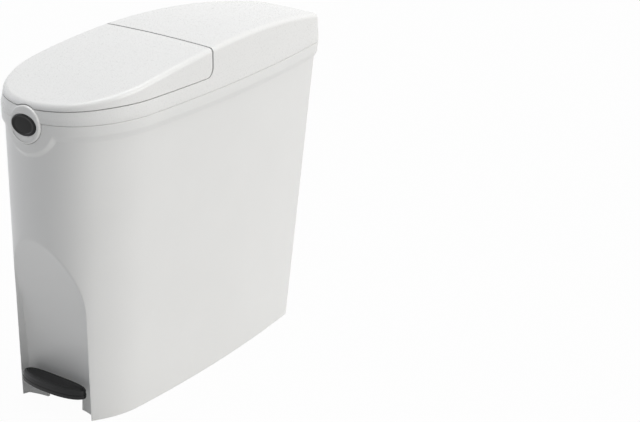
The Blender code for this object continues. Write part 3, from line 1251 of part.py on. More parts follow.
def make_button():
    """The oval lock button, a shallow dome with a rounded edge on a straight plunger."""
    half = BUTTON_WIDTH / 2
    depth = BUTTON_DEPTH + BUTTON_PROUD
    profile = [(0, depth), (half * 0.6, depth - EDGE / 3), (half - BUTTON_EDGE, depth - EDGE),
               (half - BUTTON_EDGE / 4, depth - BUTTON_EDGE), (half, depth - 2 * BUTTON_EDGE), (half, 0), (0, 0)]
    button = turned("lock_button", profile, (0, BUTTON_BACK_Y, BUTTON_Z), (0, -1, 0), black("lock_button"))
    button.scale.y = BUTTON_HEIGHT / BUTTON_WIDTH
    return button


def make_latch_cover():
    """The plate that closes the latch housing and backs the button's spring."""
    low, high = HOUSING_BACK_Y + SEAT, HOUSING_BACK_Y + SEAT + COVER_THICKNESS
    cover = plate("latch_cover", oval(HOUSING_HALF_WIDTH, HOUSING_HALF_HEIGHT, (0, BUTTON_Z)), "Y", low, high,
                  grey("latch_cover"))
    ear = SCREW_HEAD_RADIUS + EDGE
    join(cover, box("cover_ears", (-HOUSING_SCREW_X - ear, low, BUTTON_Z - ear),
                    (HOUSING_SCREW_X + ear, high, BUTTON_Z + ear)),
         rod("cover_spigot", SPIGOT_RADIUS, (0, low - SPIGOT_LENGTH, BUTTON_Z), (0, high - EDGE, BUTTON_Z)))
    for side, seat in latch_screw_seats():
        cut(cover, bolt_hole(f"cover_hole_{side}", seat, (0, -1, 0)))
    return cover


def make_lock(top_axis):
    """The lock button and latch, which slide together, with their spring and cover."""
    slide = axis_empty("lock_button_axis", (0, BUTTON_FRONT_Y, BUTTON_Z), top_axis)
    hang(slide, make_button(), make_latch_slider())
    spring_front = BUTTON_BACK_Y + SEAT + SLIDER_WALL + BUTTON_TRAVEL + 2 * SEAT
    spring = coil("button_spring", BUTTON_SPRING_RADIUS, FINE_WIRE, BUTTON_SPRING_TURNS,
                  (0, HOUSING_BACK_Y, BUTTON_Z), (0, spring_front, BUTTON_Z), steel("button_spring"))
    hang(top_axis, spring, make_latch_cover())
    for side, seat in latch_screw_seats():
        hang(top_axis, bolt(f"latch_screw_{side}", seat, (0, -1, 0)))


def make_flap_group(top_axis):
    """The privacy flap with its pin and torsion spring."""
    axis = axis_empty("flap_axis", (0, FLAP_AXIS_Y, FLAP_AXIS_Z), top_axis)
    hang(axis, make_flap())
    half = FLAP_BARREL_HALF_LENGTH + FIT + FLAP_LUG_THICKNESS + EDGE
    pin = cross_rod("flap_pin", FLAP_PIN_RADIUS, 0, FLAP_AXIS_Y, FLAP_AXIS_Z, half, steel("flap_pin"), SCREW_STEPS)
    spring = coil("flap_spring", FLAP_SPRING_RADIUS, FINE_WIRE, FLAP_SPRING_TURNS,
                  (-FLAP_SPRING_HALF_LENGTH, FLAP_AXIS_Y, FLAP_AXIS_Z),
                  (FLAP_SPRING_HALF_LENGTH, FLAP_AXIS_Y, FLAP_AXIS_Z), steel("flap_spring"))
    hang(top_axis, pin, spring)


def make_top_unit():
    """Everything that tips back about the rear hinge when the bucket is changed."""
    axis = axis_empty("top_unit_axis", (0, REAR_AXIS_Y, RIM_HEIGHT))
    hang(axis, make_top_frame(), make_deck())
    for side, x in (("left", -BUFFER_X), ("right", BUFFER_X)):
        hang(axis, make_buffer(side, x))
    for name, x, y in deck_lug_places():
        hang(axis, bolt(f"deck_screw_{name}", (x, y, DECK_TOP), (0, 0, -1)))
    hinge_rod = cross_rod("lid_hinge_rod", HINGE_ROD_RADIUS, 0, HINGE_Y, HINGE_Z, ear_x() + EAR_THICKNESS,
                          steel("lid_hinge_rod"))
    hang(axis, hinge_rod)
    lid_axis = axis_empty("lid_axis", (0, HINGE_Y, HINGE_Z), axis)
    hang(lid_axis, make_lid())
    make_lock(axis)
    make_flap_group(axis)


def make_rear_pins():
    """The two pins of the rear hinge, held in the body's knuckles."""
    half = MIDDLE_KNUCKLE_LENGTH / 2 + KNUCKLE_LENGTH + EDGE
    for side, x in (("left", -KNUCKLE_X), ("right", KNUCKLE_X)):
        name = f"rear_hinge_pin_{side}"
        cross_rod(name, REAR_PIN_RADIUS, x, REAR_AXIS_Y, RIM_HEIGHT, half, steel(name), SCREW_STEPS)


def main():
    clear_scene()
    make_collection("sanitary_container")
    make_collection("cutters")
    make_body()
    make_pivot_pin()
    make_pedal()
    make_guide("lower", LOWER_GUIDE_Z)
    make_guide("upper", UPPER_GUIDE_Z)
    make_push_rod()
    make_bucket()
    make_bag_ring()
    make_rear_pins()
    make_top_unit()


main()
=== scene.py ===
"""Looks of the pedal sanitary container: finely moulded shells, pedal, button, springs, screws,
finishes and the stage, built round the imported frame. Metres, +Z up, front at -Y."""
import math

import bmesh
import bpy
import numpy as np
from bpy.props import FloatProperty, FloatVectorProperty, IntProperty, PointerProperty
from mathutils import Matrix, Vector


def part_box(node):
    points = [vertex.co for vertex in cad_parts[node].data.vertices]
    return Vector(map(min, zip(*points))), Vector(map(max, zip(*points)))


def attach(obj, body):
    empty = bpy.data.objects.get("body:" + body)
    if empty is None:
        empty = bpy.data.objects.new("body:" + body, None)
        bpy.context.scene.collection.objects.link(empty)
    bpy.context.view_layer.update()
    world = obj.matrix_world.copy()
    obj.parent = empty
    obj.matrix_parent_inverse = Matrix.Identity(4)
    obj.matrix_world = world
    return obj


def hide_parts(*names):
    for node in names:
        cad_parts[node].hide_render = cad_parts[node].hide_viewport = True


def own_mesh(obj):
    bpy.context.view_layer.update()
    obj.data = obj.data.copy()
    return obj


bl_info = {
    "name": "Sanitary container",
    "version": (1, 0, 0),
    "blender": (4, 5, 0),
    "location": "View3D > Sidebar > Container",
    "description": "Fine shells, finishes and stage of a slim pedal sanitary container",
    "category": "Object",
}

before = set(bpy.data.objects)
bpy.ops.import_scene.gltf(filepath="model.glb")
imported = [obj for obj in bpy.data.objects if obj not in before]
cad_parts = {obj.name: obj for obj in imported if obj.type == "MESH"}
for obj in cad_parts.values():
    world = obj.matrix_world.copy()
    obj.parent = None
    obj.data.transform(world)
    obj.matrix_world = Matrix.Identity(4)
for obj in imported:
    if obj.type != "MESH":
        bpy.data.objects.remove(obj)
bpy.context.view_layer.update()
MM = 0.001

# Body plan at the floor and at the rim: length, width, rear width, nose radius, cheek radius, middle y
FOOT_PLAN = (0.507, 0.164, 0.0956, 0.073, 0.146, -0.00145)
RIM_PLAN = (0.566, 0.192, 0.106, 0.087, 0.160, 0.00105)
CORNER_RADIUS = 0.011
NOSE_STEPS, CHEEK_STEPS, SIDE_STEPS, CORNER_STEPS, REAR_STEPS = 72, 20, 30, 8, 24

# Heights and walls of the body
RIM_Z, LEDGE_Z = 0.4216, 0.402
NECK_DEPTH, NECK_LOW, NECK_HIGH = 0.0013, 0.375, 0.440
BODY_WALL, TONGUE_OUT, TONGUE_Z = 0.0041, -0.0025, 0.4271
FLOOR_LOW, FLOOR_HIGH, FOOT_ROUND = 0.056, 0.059, 0.0006

# The step where a piece seats, the gap beside a moving piece, and the room that a cut leaves round a piece
SEAT, FIT, CLEAR = 0.0003, 0.0003, 0.0006

# How far a cutter reaches past its cut, and the offset that keeps faces of two solids from coinciding
PAST, OFFSET = 0.01, 0.0001

# Heights of the body's rings, first to last with their count: close together over the scoop, further apart above
PLINTH_RINGS, CLOSE_RINGS, FAR_RINGS = (0.042, 0.014, 3), (0.004, 0.264, 75), (0.278, 0.362, 7)
INNER_LOW_RINGS, INNER_HIGH_RINGS = (0.268, 0.062, 40), (0.410, 0.380, 0.340, 0.300)

# Fittings of the body: pivot lugs, plinth ribs, guide pads, keeper shelf; and radii of the holes
LUG_X, LUG_RADIUS, FITTING_TOP = (0.0138, 0.0178), 0.008, 0.0575
RIB_X, RIB_HALF, RIB_YS, RIB_Z = 0.042, 0.001, (-0.150, 0.215), 0.050
GUIDE_ZS, GUIDE_HALF_Y, GUIDE_HALF_Z = (0.136, 0.366), 0.015, 0.006
GUIDE_SCREW_Y, GUIDE_HOLE_XS = 0.010, (0.0697, 0.0793)
KEEPER_LOW, KEEPER_HIGH, KEEPER_HALF, KEEPER_REACH = 0.3916, 0.3946, 0.009, 0.004
PIVOT_BORE, ROD_HOLE, PIN_BORE, HINGE_BORE, SCREW_HOLE = 0.0028, 0.0033, 0.0016, 0.0023, 0.0018

# Scoop over the pedal, and the notch at its foot
SCOOP_HALF, SCOOP_SPRING, SCOOP_RISE = 0.062, 0.160, 0.097
SCOOP_FLOOR_Y, SCOOP_HOLLOW, SCOOP_POWER, SCOOP_BLEND = -0.20295, 0.010, 1.9, 0.0016
NOTCH_HALF, NOTCH_Z, NOTCH_ROUND, NOTCH_AHEAD, NOTCH_BEHIND = 0.031, 0.0375, 0.012, 0.016, 0.0141

# Band that stands proud round the rim, with a disc of it round the lock's boss
BAND_OUT, BAND_Z, BAND_TAPER, BAND_EASE = 0.0040, 0.4070, 0.0080, 0.0012
DISC_RADIUS, DISC_TAPER = 0.0375, 0.0060

# Top unit
CROWN_Z, CROWN_PEAK_Y, CROWN_CROSS = 0.484, 0.060, 2.116
CROWN_FRONT_FALL, CROWN_EASE, CROWN_REAR_FALL = 0.0387, 0.88, 0.0218
SHOULDER_RADIUS, SHOULDER_INSET = 0.0065, 0.0028
TOP_WALL = 0.0026
SKIRT_OUT, SKIRT_HEIGHT, SKIRT_ROUND = 0.0043, 0.0060, 0.0009
SEAM_Y, SEAM_Z, SEAM_DIP, SEAM_DIP_LENGTH = -0.021, 0.4410, 0.0035, 0.090
SEAM_CORNER, SEAM_GAP, SEAM_REAR_GAP, SEAM_CUT_TOP = 0.014, 0.0011, 0.0029, 0.49
FRONT_Y = RIM_PLAN[5] - RIM_PLAN[0] / 2
REAR_Y = RIM_PLAN[5] + RIM_PLAN[0] / 2

# Lid hinge
HINGE_Y, HINGE_Z = -0.009, 0.4741449
ARM_X, ARM_THICKNESS, ARM_HALF, ARM_REACH, ARM_THROAT = 0.056, 0.004, 0.003, 0.034, 0.0081
EYE_RADIUS, EAR_HALF = 0.0039, 0.005
EAR_X = ARM_X + ARM_THICKNESS + 2 * FIT
PEG_Y, PEG_Z, PEG_RADIUS, PEG_REACH = -0.0319363, 0.4580848, 0.003, 0.0051

# Lock button, boss and latch housing
BUTTON_Z = 0.416
BUTTON_HALF_X, BUTTON_HALF_Z = 0.0208, 0.014
BOSS_RADIUS, BOSS_BLEND, BOSS_EDGE = 0.025, 0.012, 0.0026
CRESCENT_RADIUS, CRESCENT_WIDTH, CRESCENT_DEPTH = 0.0226, 0.0016, 0.0009
BOSS_Y = FRONT_Y - SKIRT_OUT - SEAT
HOUSING_WALL, HOUSING_LENGTH = 0.0016, 0.0345
HOUSING_BACK_Y = BOSS_Y + HOUSING_LENGTH
HOUSING_X = BUTTON_HALF_X + FIT + HOUSING_WALL
HOUSING_Z = BUTTON_HALF_Z + FIT + HOUSING_WALL
LATCH_SCREW_X, LATCH_BOSS_RADIUS, LATCH_BOSS_LENGTH, LATCH_HOLE_LENGTH = 0.025, 0.0036, 0.0076, 0.0043
HOOK_HALF, HOOK_REACH = 0.0066, 0.0072

# Pedal
PIVOT_Y, PIVOT_Z = -0.16495, 0.0295
LEVER_SLOPE = math.radians(7.5)
LEVER_FRAME = Matrix.Translation((0, PIVOT_Y, PIVOT_Z)) @ Matrix.Rotation(-LEVER_SLOPE, 4, "X")
PEDAL_HALF, PEDAL_FRONT_Y, PEDAL_REAR_Y = 0.054, -0.24595, -0.2128
PEDAL_LOW, PEDAL_HIGH = 0.032, 0.046
PEDAL_FRONT_BOW, PEDAL_REAR_BOW, PEDAL_DRAW = 0.0125, 0.006, 0.016

# Push rod, rear hinge, deck
ROD_X, ROD_Y, ROD_TRAVEL = 0.066, -0.0344682, 0.03212
GUIDE_FACE_X, REAR_AXIS_OUT = 0.076, 0.0004
REAR_AXIS_Y = REAR_Y + REAR_AXIS_OUT
KNUCKLE_X, KNUCKLE_RADIUS, KNUCKLE, MIDDLE_KNUCKLE = 0.032, 0.0030, 0.008, 0.014
KNUCKLE_ROOM, KNUCKLE_FOOT, PIN_HALF = 0.00035, (0.007, 0.0015), 0.022
DECK_Z, DECK_TOP = 0.434, 0.4362
DECK_LUG_YS, DECK_LUG_HALF, DECK_LUG_REACH, DECK_LUG_DEPTH = (-0.150, 0.190), 0.006, 0.013, 0.0034
COVER_RIB_YS, COVER_RIB_X, COVER_RIB_DEPTH, COVER_RIB_HALF = (0.075, 0.165), 0.062, 0.0042, 0.0009


# Settings a user would change

def linear(hex_colour):
    """An sRGB hex value as linear red, green and blue."""
    parts = [int(hex_colour[i:i + 2], 16) / 255 for i in (0, 2, 4)]
    return tuple(c / 12.92 if c <= 0.04045 else ((c + 0.055) / 1.055) ** 2.4 for c in parts)


def length_setting(name, text, default, low, high):
    """A length that a user can set; its default and limits are in millimetres."""
    return FloatProperty(name=name, description=text, default=default * MM, min=low * MM, max=high * MM,
                         precision=5, unit="LENGTH")


def colour_setting(name, text, hex_colour):
    return FloatVectorProperty(name=name, description=text, subtype="COLOR", size=3, min=0, max=1,
                               default=linear(hex_colour))


class ContainerSizes(bpy.types.PropertyGroup):
    band_round: length_setting("Band foot rounding", "Softness where the rim band meets the body", 0.8, 0, 1.5)
    rim_round: length_setting("Rim rounding", "Radius on the rim band's upper edge", 1.5, 0.3, 2.2)
    edge_round: length_setting("Seam edge rounding", "Radius on the edges of the lid's seam", 0.45, 0.1, 0.6)
    scoop_round: length_setting("Scoop edge rounding", "Width of the soft edge round the scoop", 3.6, 1, 8)
    ridge_height: length_setting("Pedal ridge height", "Height of the ridges on the pedal's pad", 0.6, 0, 1.2)
    spring_sides: IntProperty(name="Wire sides", description="Sides of the drawn spring wire",
                              default=10, min=6, max=24)


class ContainerColours(bpy.types.PropertyGroup):
    white: colour_setting("White shells", "Colour of the body, lid and frame", "E9E9E7")
    black: colour_setting("Button and pedal", "Colour of the lock button and the pedal", "0A0B0D")
    grey: colour_setting("Inner grey", "Colour of the guides, latch and bag ring", "9FA1A3")
    bucket: colour_setting("Bucket", "Colour of the lift-out bucket", "AEB0B2")


# Mesh tools

def object_from(name, mesh):
    made = bpy.data.objects.new(name, mesh)
    bpy.context.scene.collection.objects.link(made)
    return made


def object_of(name, bm):
    bmesh.ops.recalc_face_normals(bm, faces=bm.faces)
    mesh = bpy.data.meshes.new(name)
    bm.to_mesh(mesh)
    bm.free()
    return object_from(name, mesh)


def shade(made, angle=38.0, weighted=True):
    """Smooth shading that breaks at sharp edges, with normals led by the large faces."""
    made.data.shade_smooth()
    made.data.set_sharp_from_angle(angle=math.radians(angle))
    if weighted:
        change = made.modifiers.new("weighted_normals", "WEIGHTED_NORMAL")
        change.keep_sharp = True
        change.weight = 60
    return made


def settle(made):
    """Applies an object's modifiers to its mesh."""
    depsgraph = bpy.context.evaluated_depsgraph_get()
    mesh = bpy.data.meshes.new_from_object(made.evaluated_get(depsgraph))
    made.modifiers.clear()
    made.data = mesh
    return made


def combine(made, operation, others):
    """One exact Boolean with a group of objects, which are then removed."""
    group = bpy.data.collections.new(made.name + "_" + operation.lower())
    bpy.context.scene.collection.children.link(group)
    for other in others:
        bpy.context.scene.collection.objects.unlink(other)
        group.objects.link(other)
    change = made.modifiers.new(operation.lower(), "BOOLEAN")
    change.operation = operation
    change.solver = "EXACT"
    change.operand_type = "COLLECTION"
    change.collection = group
    settle(made)
    for other in others:
        bpy.data.objects.remove(other, do_unlink=True)
    bpy.data.collections.remove(group)
    return made


def intersect(made, other):
    """Keeps what an object shares with another, which is then removed."""
    change = made.modifiers.new("intersect", "BOOLEAN")
    change.operation = "INTERSECT"
    change.solver = "EXACT"
    change.object = other
    settle(made)
    bpy.data.objects.remove(other, do_unlink=True)
    return made


def round_edges(made, radius, angle=50.0, segments=2, weld=0.00012):
    """Rounds the sharp edges left by a cut, once points that nearly meet are welded."""
    bm = bmesh.new()
    bm.from_mesh(made.data)
    bmesh.ops.remove_doubles(bm, verts=bm.verts, dist=weld)
    bmesh.ops.dissolve_degenerate(bm, edges=bm.edges, dist=weld / 10)
    limit = math.radians(angle)
    sharp = [e for e in bm.edges if len(e.link_faces) == 2 and e.calc_face_angle(0) > limit]
    bmesh.ops.bevel(bm, geom=sharp, offset=radius, offset_type="OFFSET", segments=segments, profile=0.5,
                    affect="EDGES", clamp_overlap=True)
    bm.to_mesh(made.data)
    bm.free()
    return made


def block(name, low, high):
    bm = bmesh.new()
    bmesh.ops.create_cube(bm, size=1)
    bmesh.ops.scale(bm, vec=[b - a for a, b in zip(low, high)], verts=bm.verts)
    bmesh.ops.translate(bm, vec=[(a + b) / 2 for a, b in zip(low, high)], verts=bm.verts)
    return object_of(name, bm)


def bar(name, radius, start, end, steps=48):
    """A round bar from one point to another."""
    start, end = Vector(start), Vector(end)
    along = end - start
    place = Matrix.Translation((start + end) / 2) @ along.to_track_quat("Z", "Y").to_matrix().to_4x4()
    bm = bmesh.new()
    bmesh.ops.create_cone(bm, cap_ends=True, segments=steps, radius1=radius, radius2=radius, depth=along.length,
                          matrix=place @ Matrix.Rotation(math.pi / steps, 4, "Z"))
    return object_of(name, bm)


def cross_bar(name, radius, x, y, z, half_length, steps=32):
    return bar(name, radius, (x - half_length, y, z), (x + half_length, y, z), steps)


PRISM_AXES = {"X": lambda u, v, w: (w, u, v), "Y": lambda u, v, w: (u, w, v), "Z": lambda u, v, w: (u, v, w)}


def bridge(bm, rings):
    """Faces between each ring of points and the next; a ring of one point closes its neighbour to a fan."""
    for lower, upper in zip(rings, rings[1:]):
        count = max(len(lower), len(upper))
        for i in range(count):
            j = (i + 1) % count
            if len(lower) == 1:
                bm.faces.new((lower[0], upper[j], upper[i]))
            elif len(upper) == 1:
                bm.faces.new((lower[i], lower[j], upper[0]))
            else:
                bm.faces.new((lower[i], lower[j], upper[j], upper[i]))


def prism(name, outline, axis, low, high):
    """A flat outline with thickness along an axis; its points are (y, z), (x, z) or (x, y)."""
    place = PRISM_AXES[axis]
    bm = bmesh.new()
    ends = [[bm.verts.new(place(u, v, w)) for u, v in outline] for w in (low, high)]
    for end in ends:
        bm.faces.new(end)
    bridge(bm, ends)
    return object_of(name, bm)


def turned(name, profile, place, steps=64, squeeze=1.0):
    """A profile of (radius, height) points turned about an axis; place puts that axis, whose top is +Z."""
    bm = bmesh.new()
    rings = []
    for radius, height in profile:
        turns = [math.tau * (i + 0.5) / steps for i in range(steps if radius else 1)]
        rings.append([bm.verts.new((radius * math.cos(t), radius * squeeze * math.sin(t), height)) for t in turns])
    bridge(bm, rings)
    bmesh.ops.transform(bm, matrix=place, verts=bm.verts)
    return object_of(name, bm)


def arc(centre, radius, start, end, steps):
    turns = [start + (end - start) * i / steps for i in range(steps + 1)]
    return [(centre[0] + radius * math.cos(t), centre[1] + radius * math.sin(t)) for t in turns]


def oval(half_x, half_z, centre, steps=64):
    turns = [math.tau * (i + 0.5) / steps for i in range(steps)]
    return [(centre[0] + half_x * math.cos(t), centre[1] + half_z * math.sin(t)) for t in turns]


# The plan that the body and the top unit share

def plan(sizes):
    """Points and outward normals of a plan: right side from the nose back, rear edge, left side."""
    length, width, rear_width, nose, cheek, middle_y = sizes
    nose_centre = (0.0, middle_y - length / 2 + nose)
    meet = -math.acos((cheek - width / 2) / (cheek - nose))
    cheek_centre = (width / 2 - cheek, nose_centre[1] - (cheek - nose) * math.sin(meet))
    drop = (width - rear_width) / 2
    run = middle_y + length / 2 - cheek_centre[1]
    side = (run * run + drop * drop) / (2 * drop)
    side_centre = (width / 2 - side, cheek_centre[1])
    corner_y = middle_y + length / 2 - CORNER_RADIUS
    rise = corner_y - side_centre[1]
    corner_x = side_centre[0] + math.sqrt((side - CORNER_RADIUS) ** 2 - rise * rise)
    turn = math.atan2(rise, corner_x - side_centre[0])
    arcs = ((nose_centre, nose, -math.pi / 2, meet, NOSE_STEPS), (cheek_centre, cheek, meet, 0.0, CHEEK_STEPS),
            (side_centre, side, 0.0, turn, SIDE_STEPS),
            ((corner_x, corner_y), CORNER_RADIUS, turn, math.pi / 2, CORNER_STEPS))
    points, normals = [], []
    for k, (centre, radius, start, end, steps) in enumerate(arcs):
        for i in range(1 if k else 0, steps + 1):
            t = start + (end - start) * i / steps
            points.append((centre[0] + radius * math.cos(t), centre[1] + radius * math.sin(t)))
            normals.append((math.cos(t), math.sin(t)))
    edge_x, edge_y = points[-1]
    rear = [(edge_x - 2 * edge_x * i / REAR_STEPS, edge_y) for i in range(1, REAR_STEPS)]
    left = [(-x, y) for x, y in reversed(points[1:])]
    left_normals = [(-x, y) for x, y in reversed(normals[1:])]
    return (np.array(points + rear + left),
            np.array(normals + [(0.0, 1.0)] * len(rear) + left_normals), len(points) - 1)


LEDGE_PLAN = tuple(a + (b - a) * LEDGE_Z / RIM_Z for a, b in zip(FOOT_PLAN, RIM_PLAN))
FOOT_POINTS, FOOT_NORMALS, LAST_RIGHT = plan(FOOT_PLAN)
LEDGE_POINTS, LEDGE_NORMALS, _ = plan(LEDGE_PLAN)
RIM_POINTS, RIM_NORMALS, _ = plan(RIM_PLAN)
COUNT = len(FOOT_POINTS)


def smooth_max(a, b, width):
    """The greater of two values, blended where they come within a width of each other."""
    blend = np.maximum(width - np.abs(a - b), 0) / width
    return np.maximum(a, b) + blend * blend * width / 4


def smooth_step(t):
    t = np.clip(t, 0, 1)
    return t * t * (3 - 2 * t)


def scoop_line(z):
    """y of the scoop's middle at a height: it leans out to the body's front at the arch's top."""
    top = SCOOP_SPRING + SCOOP_RISE
    front = LEDGE_POINTS[0][1] * top / LEDGE_Z + FOOT_POINTS[0][1] * (1 - top / LEDGE_Z)
    return SCOOP_FLOOR_Y + (front - SCOOP_FLOOR_Y) * np.clip(z / top, 0, 1) ** SCOOP_POWER


def recess(x, y, z, grow, soft):
    """Sinks the front into the scoop: y of the wall there, grow behind the scoop's face."""
    half, rise = SCOOP_HALF + grow, SCOOP_RISE + grow
    above = np.maximum(z - SCOOP_SPRING, 0)
    reach = np.hypot(x / half, above / rise)
    slope = np.hypot(x / half ** 2, above / rise ** 2) / np.maximum(reach, 1e-6)
    inside = (1 - reach) / np.maximum(slope, 1e-6)
    hollow = SCOOP_HOLLOW * np.maximum(0, 1 - (np.maximum(z, 0) / SCOOP_SPRING) ** 2)
    face = scoop_line(z) + grow - hollow * np.minimum(1, np.abs(x) / SCOOP_HALF) ** 3
    sunk = smooth_max(y, face, SCOOP_BLEND) if soft else np.maximum(y, face)
    return np.where(y < 0, y + smooth_step(inside / soft if soft else inside / MM) * (sunk - y), y)


def body_row(z, outward, soft=0.0):
    """One ring of the body; the height and the distance outward can differ from point to point."""
    z = np.broadcast_to(np.asarray(z, float), (COUNT,))
    outward = np.broadcast_to(np.asarray(outward, float), (COUNT,))
    share = (z / LEDGE_Z)[:, None]
    points = FOOT_POINTS + (LEDGE_POINTS - FOOT_POINTS) * share
    normals = FOOT_NORMALS + (LEDGE_NORMALS - FOOT_NORMALS) * share
    points = points + normals * (outward / np.linalg.norm(normals, axis=1))[:, None]
    y = recess(points[:, 0], points[:, 1], z, np.maximum(-outward, 0), soft)
    return np.column_stack([points[:, 0], y, z])


def shell(name, rows, low_lift=None, high_lift=None):
    """A closed solid through rings of points; a lift gives its end a crowned face, else it is flat."""
    bm = bmesh.new()
    rings = [[bm.verts.new(p) for p in row] for row in rows]
    bridge(bm, rings)
    for ring, lift in ((rings[0], low_lift), (rings[-1], high_lift)):
        if lift is None:
            bm.faces.new(ring)
        else:
            crown_face(bm, ring, lift)
    return object_of(name, bm)


def crown_face(bm, ring, lift):
    """Closes a ring with rows of faces that run from side to side on a curved surface."""
    last = [ring[0]]
    for i in range(1, LAST_RIGHT + 1):
        right, left = ring[i], ring[-i]
        if i == LAST_RIGHT:
            row = ring[LAST_RIGHT:LAST_RIGHT + REAR_STEPS + 1]
        else:
            inner = [right.co.lerp(left.co, k / REAR_STEPS) for k in range(1, REAR_STEPS)]
            row = [right] + [bm.verts.new((p.x, p.y, lift(p.x, p.y))) for p in inner] + [left]
        for k in range(REAR_STEPS):
            if len(last) == 1:
                bm.faces.new((last[0], row[k], row[k + 1]))
            else:
                bm.faces.new((last[k], row[k], row[k + 1], last[k + 1]))
        last = row


# Finishes

def add_node(tree, kind, inputs=None, **settings):
    """Adds a node with its settings; an input is a value or another node's output."""
    node = tree.nodes.new(kind)
    for key, value in settings.items():
        setattr(node, key, value)
    for socket, value in (inputs or {}).items():
        if isinstance(value, bpy.types.NodeSocket):
            tree.links.new(value, node.inputs[socket])
        else:
            node.inputs[socket].default_value = value
    return node


def start_finish(name, **inputs):
    """A new material, with the shader's inputs set by name, and the object's own coordinates."""
    made = bpy.data.materials.new(name)
    made.use_nodes = True
    tree = made.node_tree
    shader = tree.nodes["Principled BSDF"]
    for key, value in inputs.items():
        shader.inputs[key.replace("_", " ")].default_value = value
    return made, tree, shader, add_node(tree, "ShaderNodeTexCoord").outputs["Object"]


def noise(tree, place, size, detail):
    """Even noise whose grain has a size in millimetres."""
    made = add_node(tree, "ShaderNodeTexNoise", {"Vector": place, "Scale": 1 / (size * MM), "Detail": detail})
    return made.outputs["Fac"]


def shades(tree, place, colour, spread, size):
    """A colour that drifts between two near shades over patches of a size in millimetres."""
    ramp = add_node(tree, "ShaderNodeValToRGB", {"Fac": noise(tree, place, size, 3.0)})
    for element, position, share in zip(ramp.color_ramp.elements, (0.3, 0.7), (1 - spread, 1 + spread)):
        element.position = position
        element.color = (*[min(1, c * share) for c in colour], 1)
    return ramp.outputs["Color"]


def vary_gloss(tree, shader, pattern, low, high):
    """Lets a pattern drive the roughness between two values."""
    gloss = add_node(tree, "ShaderNodeMapRange", {"Value": pattern, "To Min": low, "To Max": high})
    tree.links.new(gloss.outputs["Result"], shader.inputs["Roughness"])


def relief(tree, pattern, strength, depth, under=None):
    """Bump of a pattern, its depth in millimetres, on top of another bump where one is given."""
    inputs = {"Height": pattern, "Strength": strength, "Distance": depth * MM}
    if under:
        inputs["Normal"] = under
    return add_node(tree, "ShaderNodeBump", inputs).outputs["Normal"]


def moulded_polypropylene(name, colour, roughness):
    """Injection-moulded polypropylene, fine spark-textured: a soft, waxy sheen with no sharp reflection."""
    made, tree, shader, place = start_finish(name, IOR=1.49, Subsurface_Weight=0.06, Subsurface_Scale=1.2 * MM,
                                             Subsurface_Radius=(1.0, 0.95, 0.9))
    tree.links.new(shades(tree, place, colour, 0.008, 90), shader.inputs["Base Color"])
    # The mould's spark grain is about 0.1 mm, too fine to show, so it is drawn at 1.6 mm.
    grain = noise(tree, place, 1.6, 2.0)
    # Slow waves of about 40 mm, where the wall shrank a little as it cooled.
    sink = noise(tree, place, 40, 1.0)
    vary_gloss(tree, shader, grain, roughness - 0.03, roughness + 0.03)
    bump = relief(tree, grain, 0.35, 0.010, relief(tree, sink, 0.25, 0.25))
    tree.links.new(bump, shader.inputs["Normal"])
    return made


def gloss_abs(name, colour):
    """Moulded ABS from a polished tool: deep black with a clear, slightly softened reflection."""
    made, tree, shader, place = start_finish(name, IOR=1.46, Specular_IOR_Level=0.30, Coat_Weight=0.05,
                                             Coat_Roughness=0.08)
    tree.links.new(shades(tree, place, colour, 0.06, 12), shader.inputs["Base Color"])
    # Hairline scratches of use, about 0.6 mm apart.
    vary_gloss(tree, shader, noise(tree, place, 0.6, 4.0), 0.16, 0.30)
    return made


def grained_polymer(name, colour, roughness, grain=0.9, depth=0.03, ior=1.50):
    """Moulded soft-touch polymer with an even leather-fine grain, which scatters the light."""
    made, tree, shader, place = start_finish(name, IOR=ior, Specular_IOR_Level=0.35)
    tree.links.new(shades(tree, place, colour, 0.10, 18), shader.inputs["Base Color"])
    cells = add_node(tree, "ShaderNodeTexVoronoi", {"Vector": place, "Scale": 1 / (grain * MM)}).outputs["Distance"]
    vary_gloss(tree, shader, cells, roughness - 0.06, roughness + 0.06)
    tree.links.new(relief(tree, cells, 0.5, depth), shader.inputs["Normal"])
    return made


def zinc_plated_steel(name, hex_colour="C9C9C4", roughness=0.30):
    """Bright zinc plate on drawn steel: silvery, a little cloudy, with faint draw lines."""
    made, tree, shader, place = start_finish(name, Metallic=1.0)
    tree.links.new(shades(tree, place, linear(hex_colour), 0.07, 6), shader.inputs["Base Color"])
    # Draw lines are about 0.05 mm apart; they are drawn at 0.5 mm so that they show.
    lines = noise(tree, place, 0.5, 3.0)
    vary_gloss(tree, shader, lines, roughness - 0.08, roughness + 0.08)
    tree.links.new(relief(tree, lines, 0.3, 0.01), shader.inputs["Normal"])
    return made


def dress(made, material, body, node):
    """Gives a new piece its finish and body, and hides the CAD node it stands for."""
    made.data.materials.clear()
    made.data.materials.append(material)
    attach(made, body)
    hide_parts(node)


def dress_nodes(nodes, material, edge=0.0):
    """Gives carried-over CAD nodes their finish, and rounds their sharp edges a little."""
    for node in nodes:
        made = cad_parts[node]
        made.data.materials.clear()
        made.data.materials.append(material)
        if edge:
            change = made.modifiers.new("moulded_edges", "BEVEL")
            change.width = edge
            change.segments = 2
            change.limit_method = "ANGLE"
            change.angle_limit = math.radians(40)
            change.use_clamp_overlap = True
            change.harden_normals = False


class BuildStep:
    """What the operators share: each builds with the scene's sizes and colours."""

    def execute(self, context):
        self.build(context.scene.container_sizes, context.scene.container_colours)
        return {"FINISHED"}


# Body

def dipped(height, radius):
    """A height for each point of a ring, which dips to a radius round the lock's middle at the front."""
    x = np.abs(LEDGE_POINTS[:, 0])
    dip = BUTTON_Z - np.sqrt(np.maximum(radius ** 2 - x * x, 0))
    return np.where((LEDGE_POINTS[:, 1] < 0) & (x < radius), np.minimum(height, dip), height)


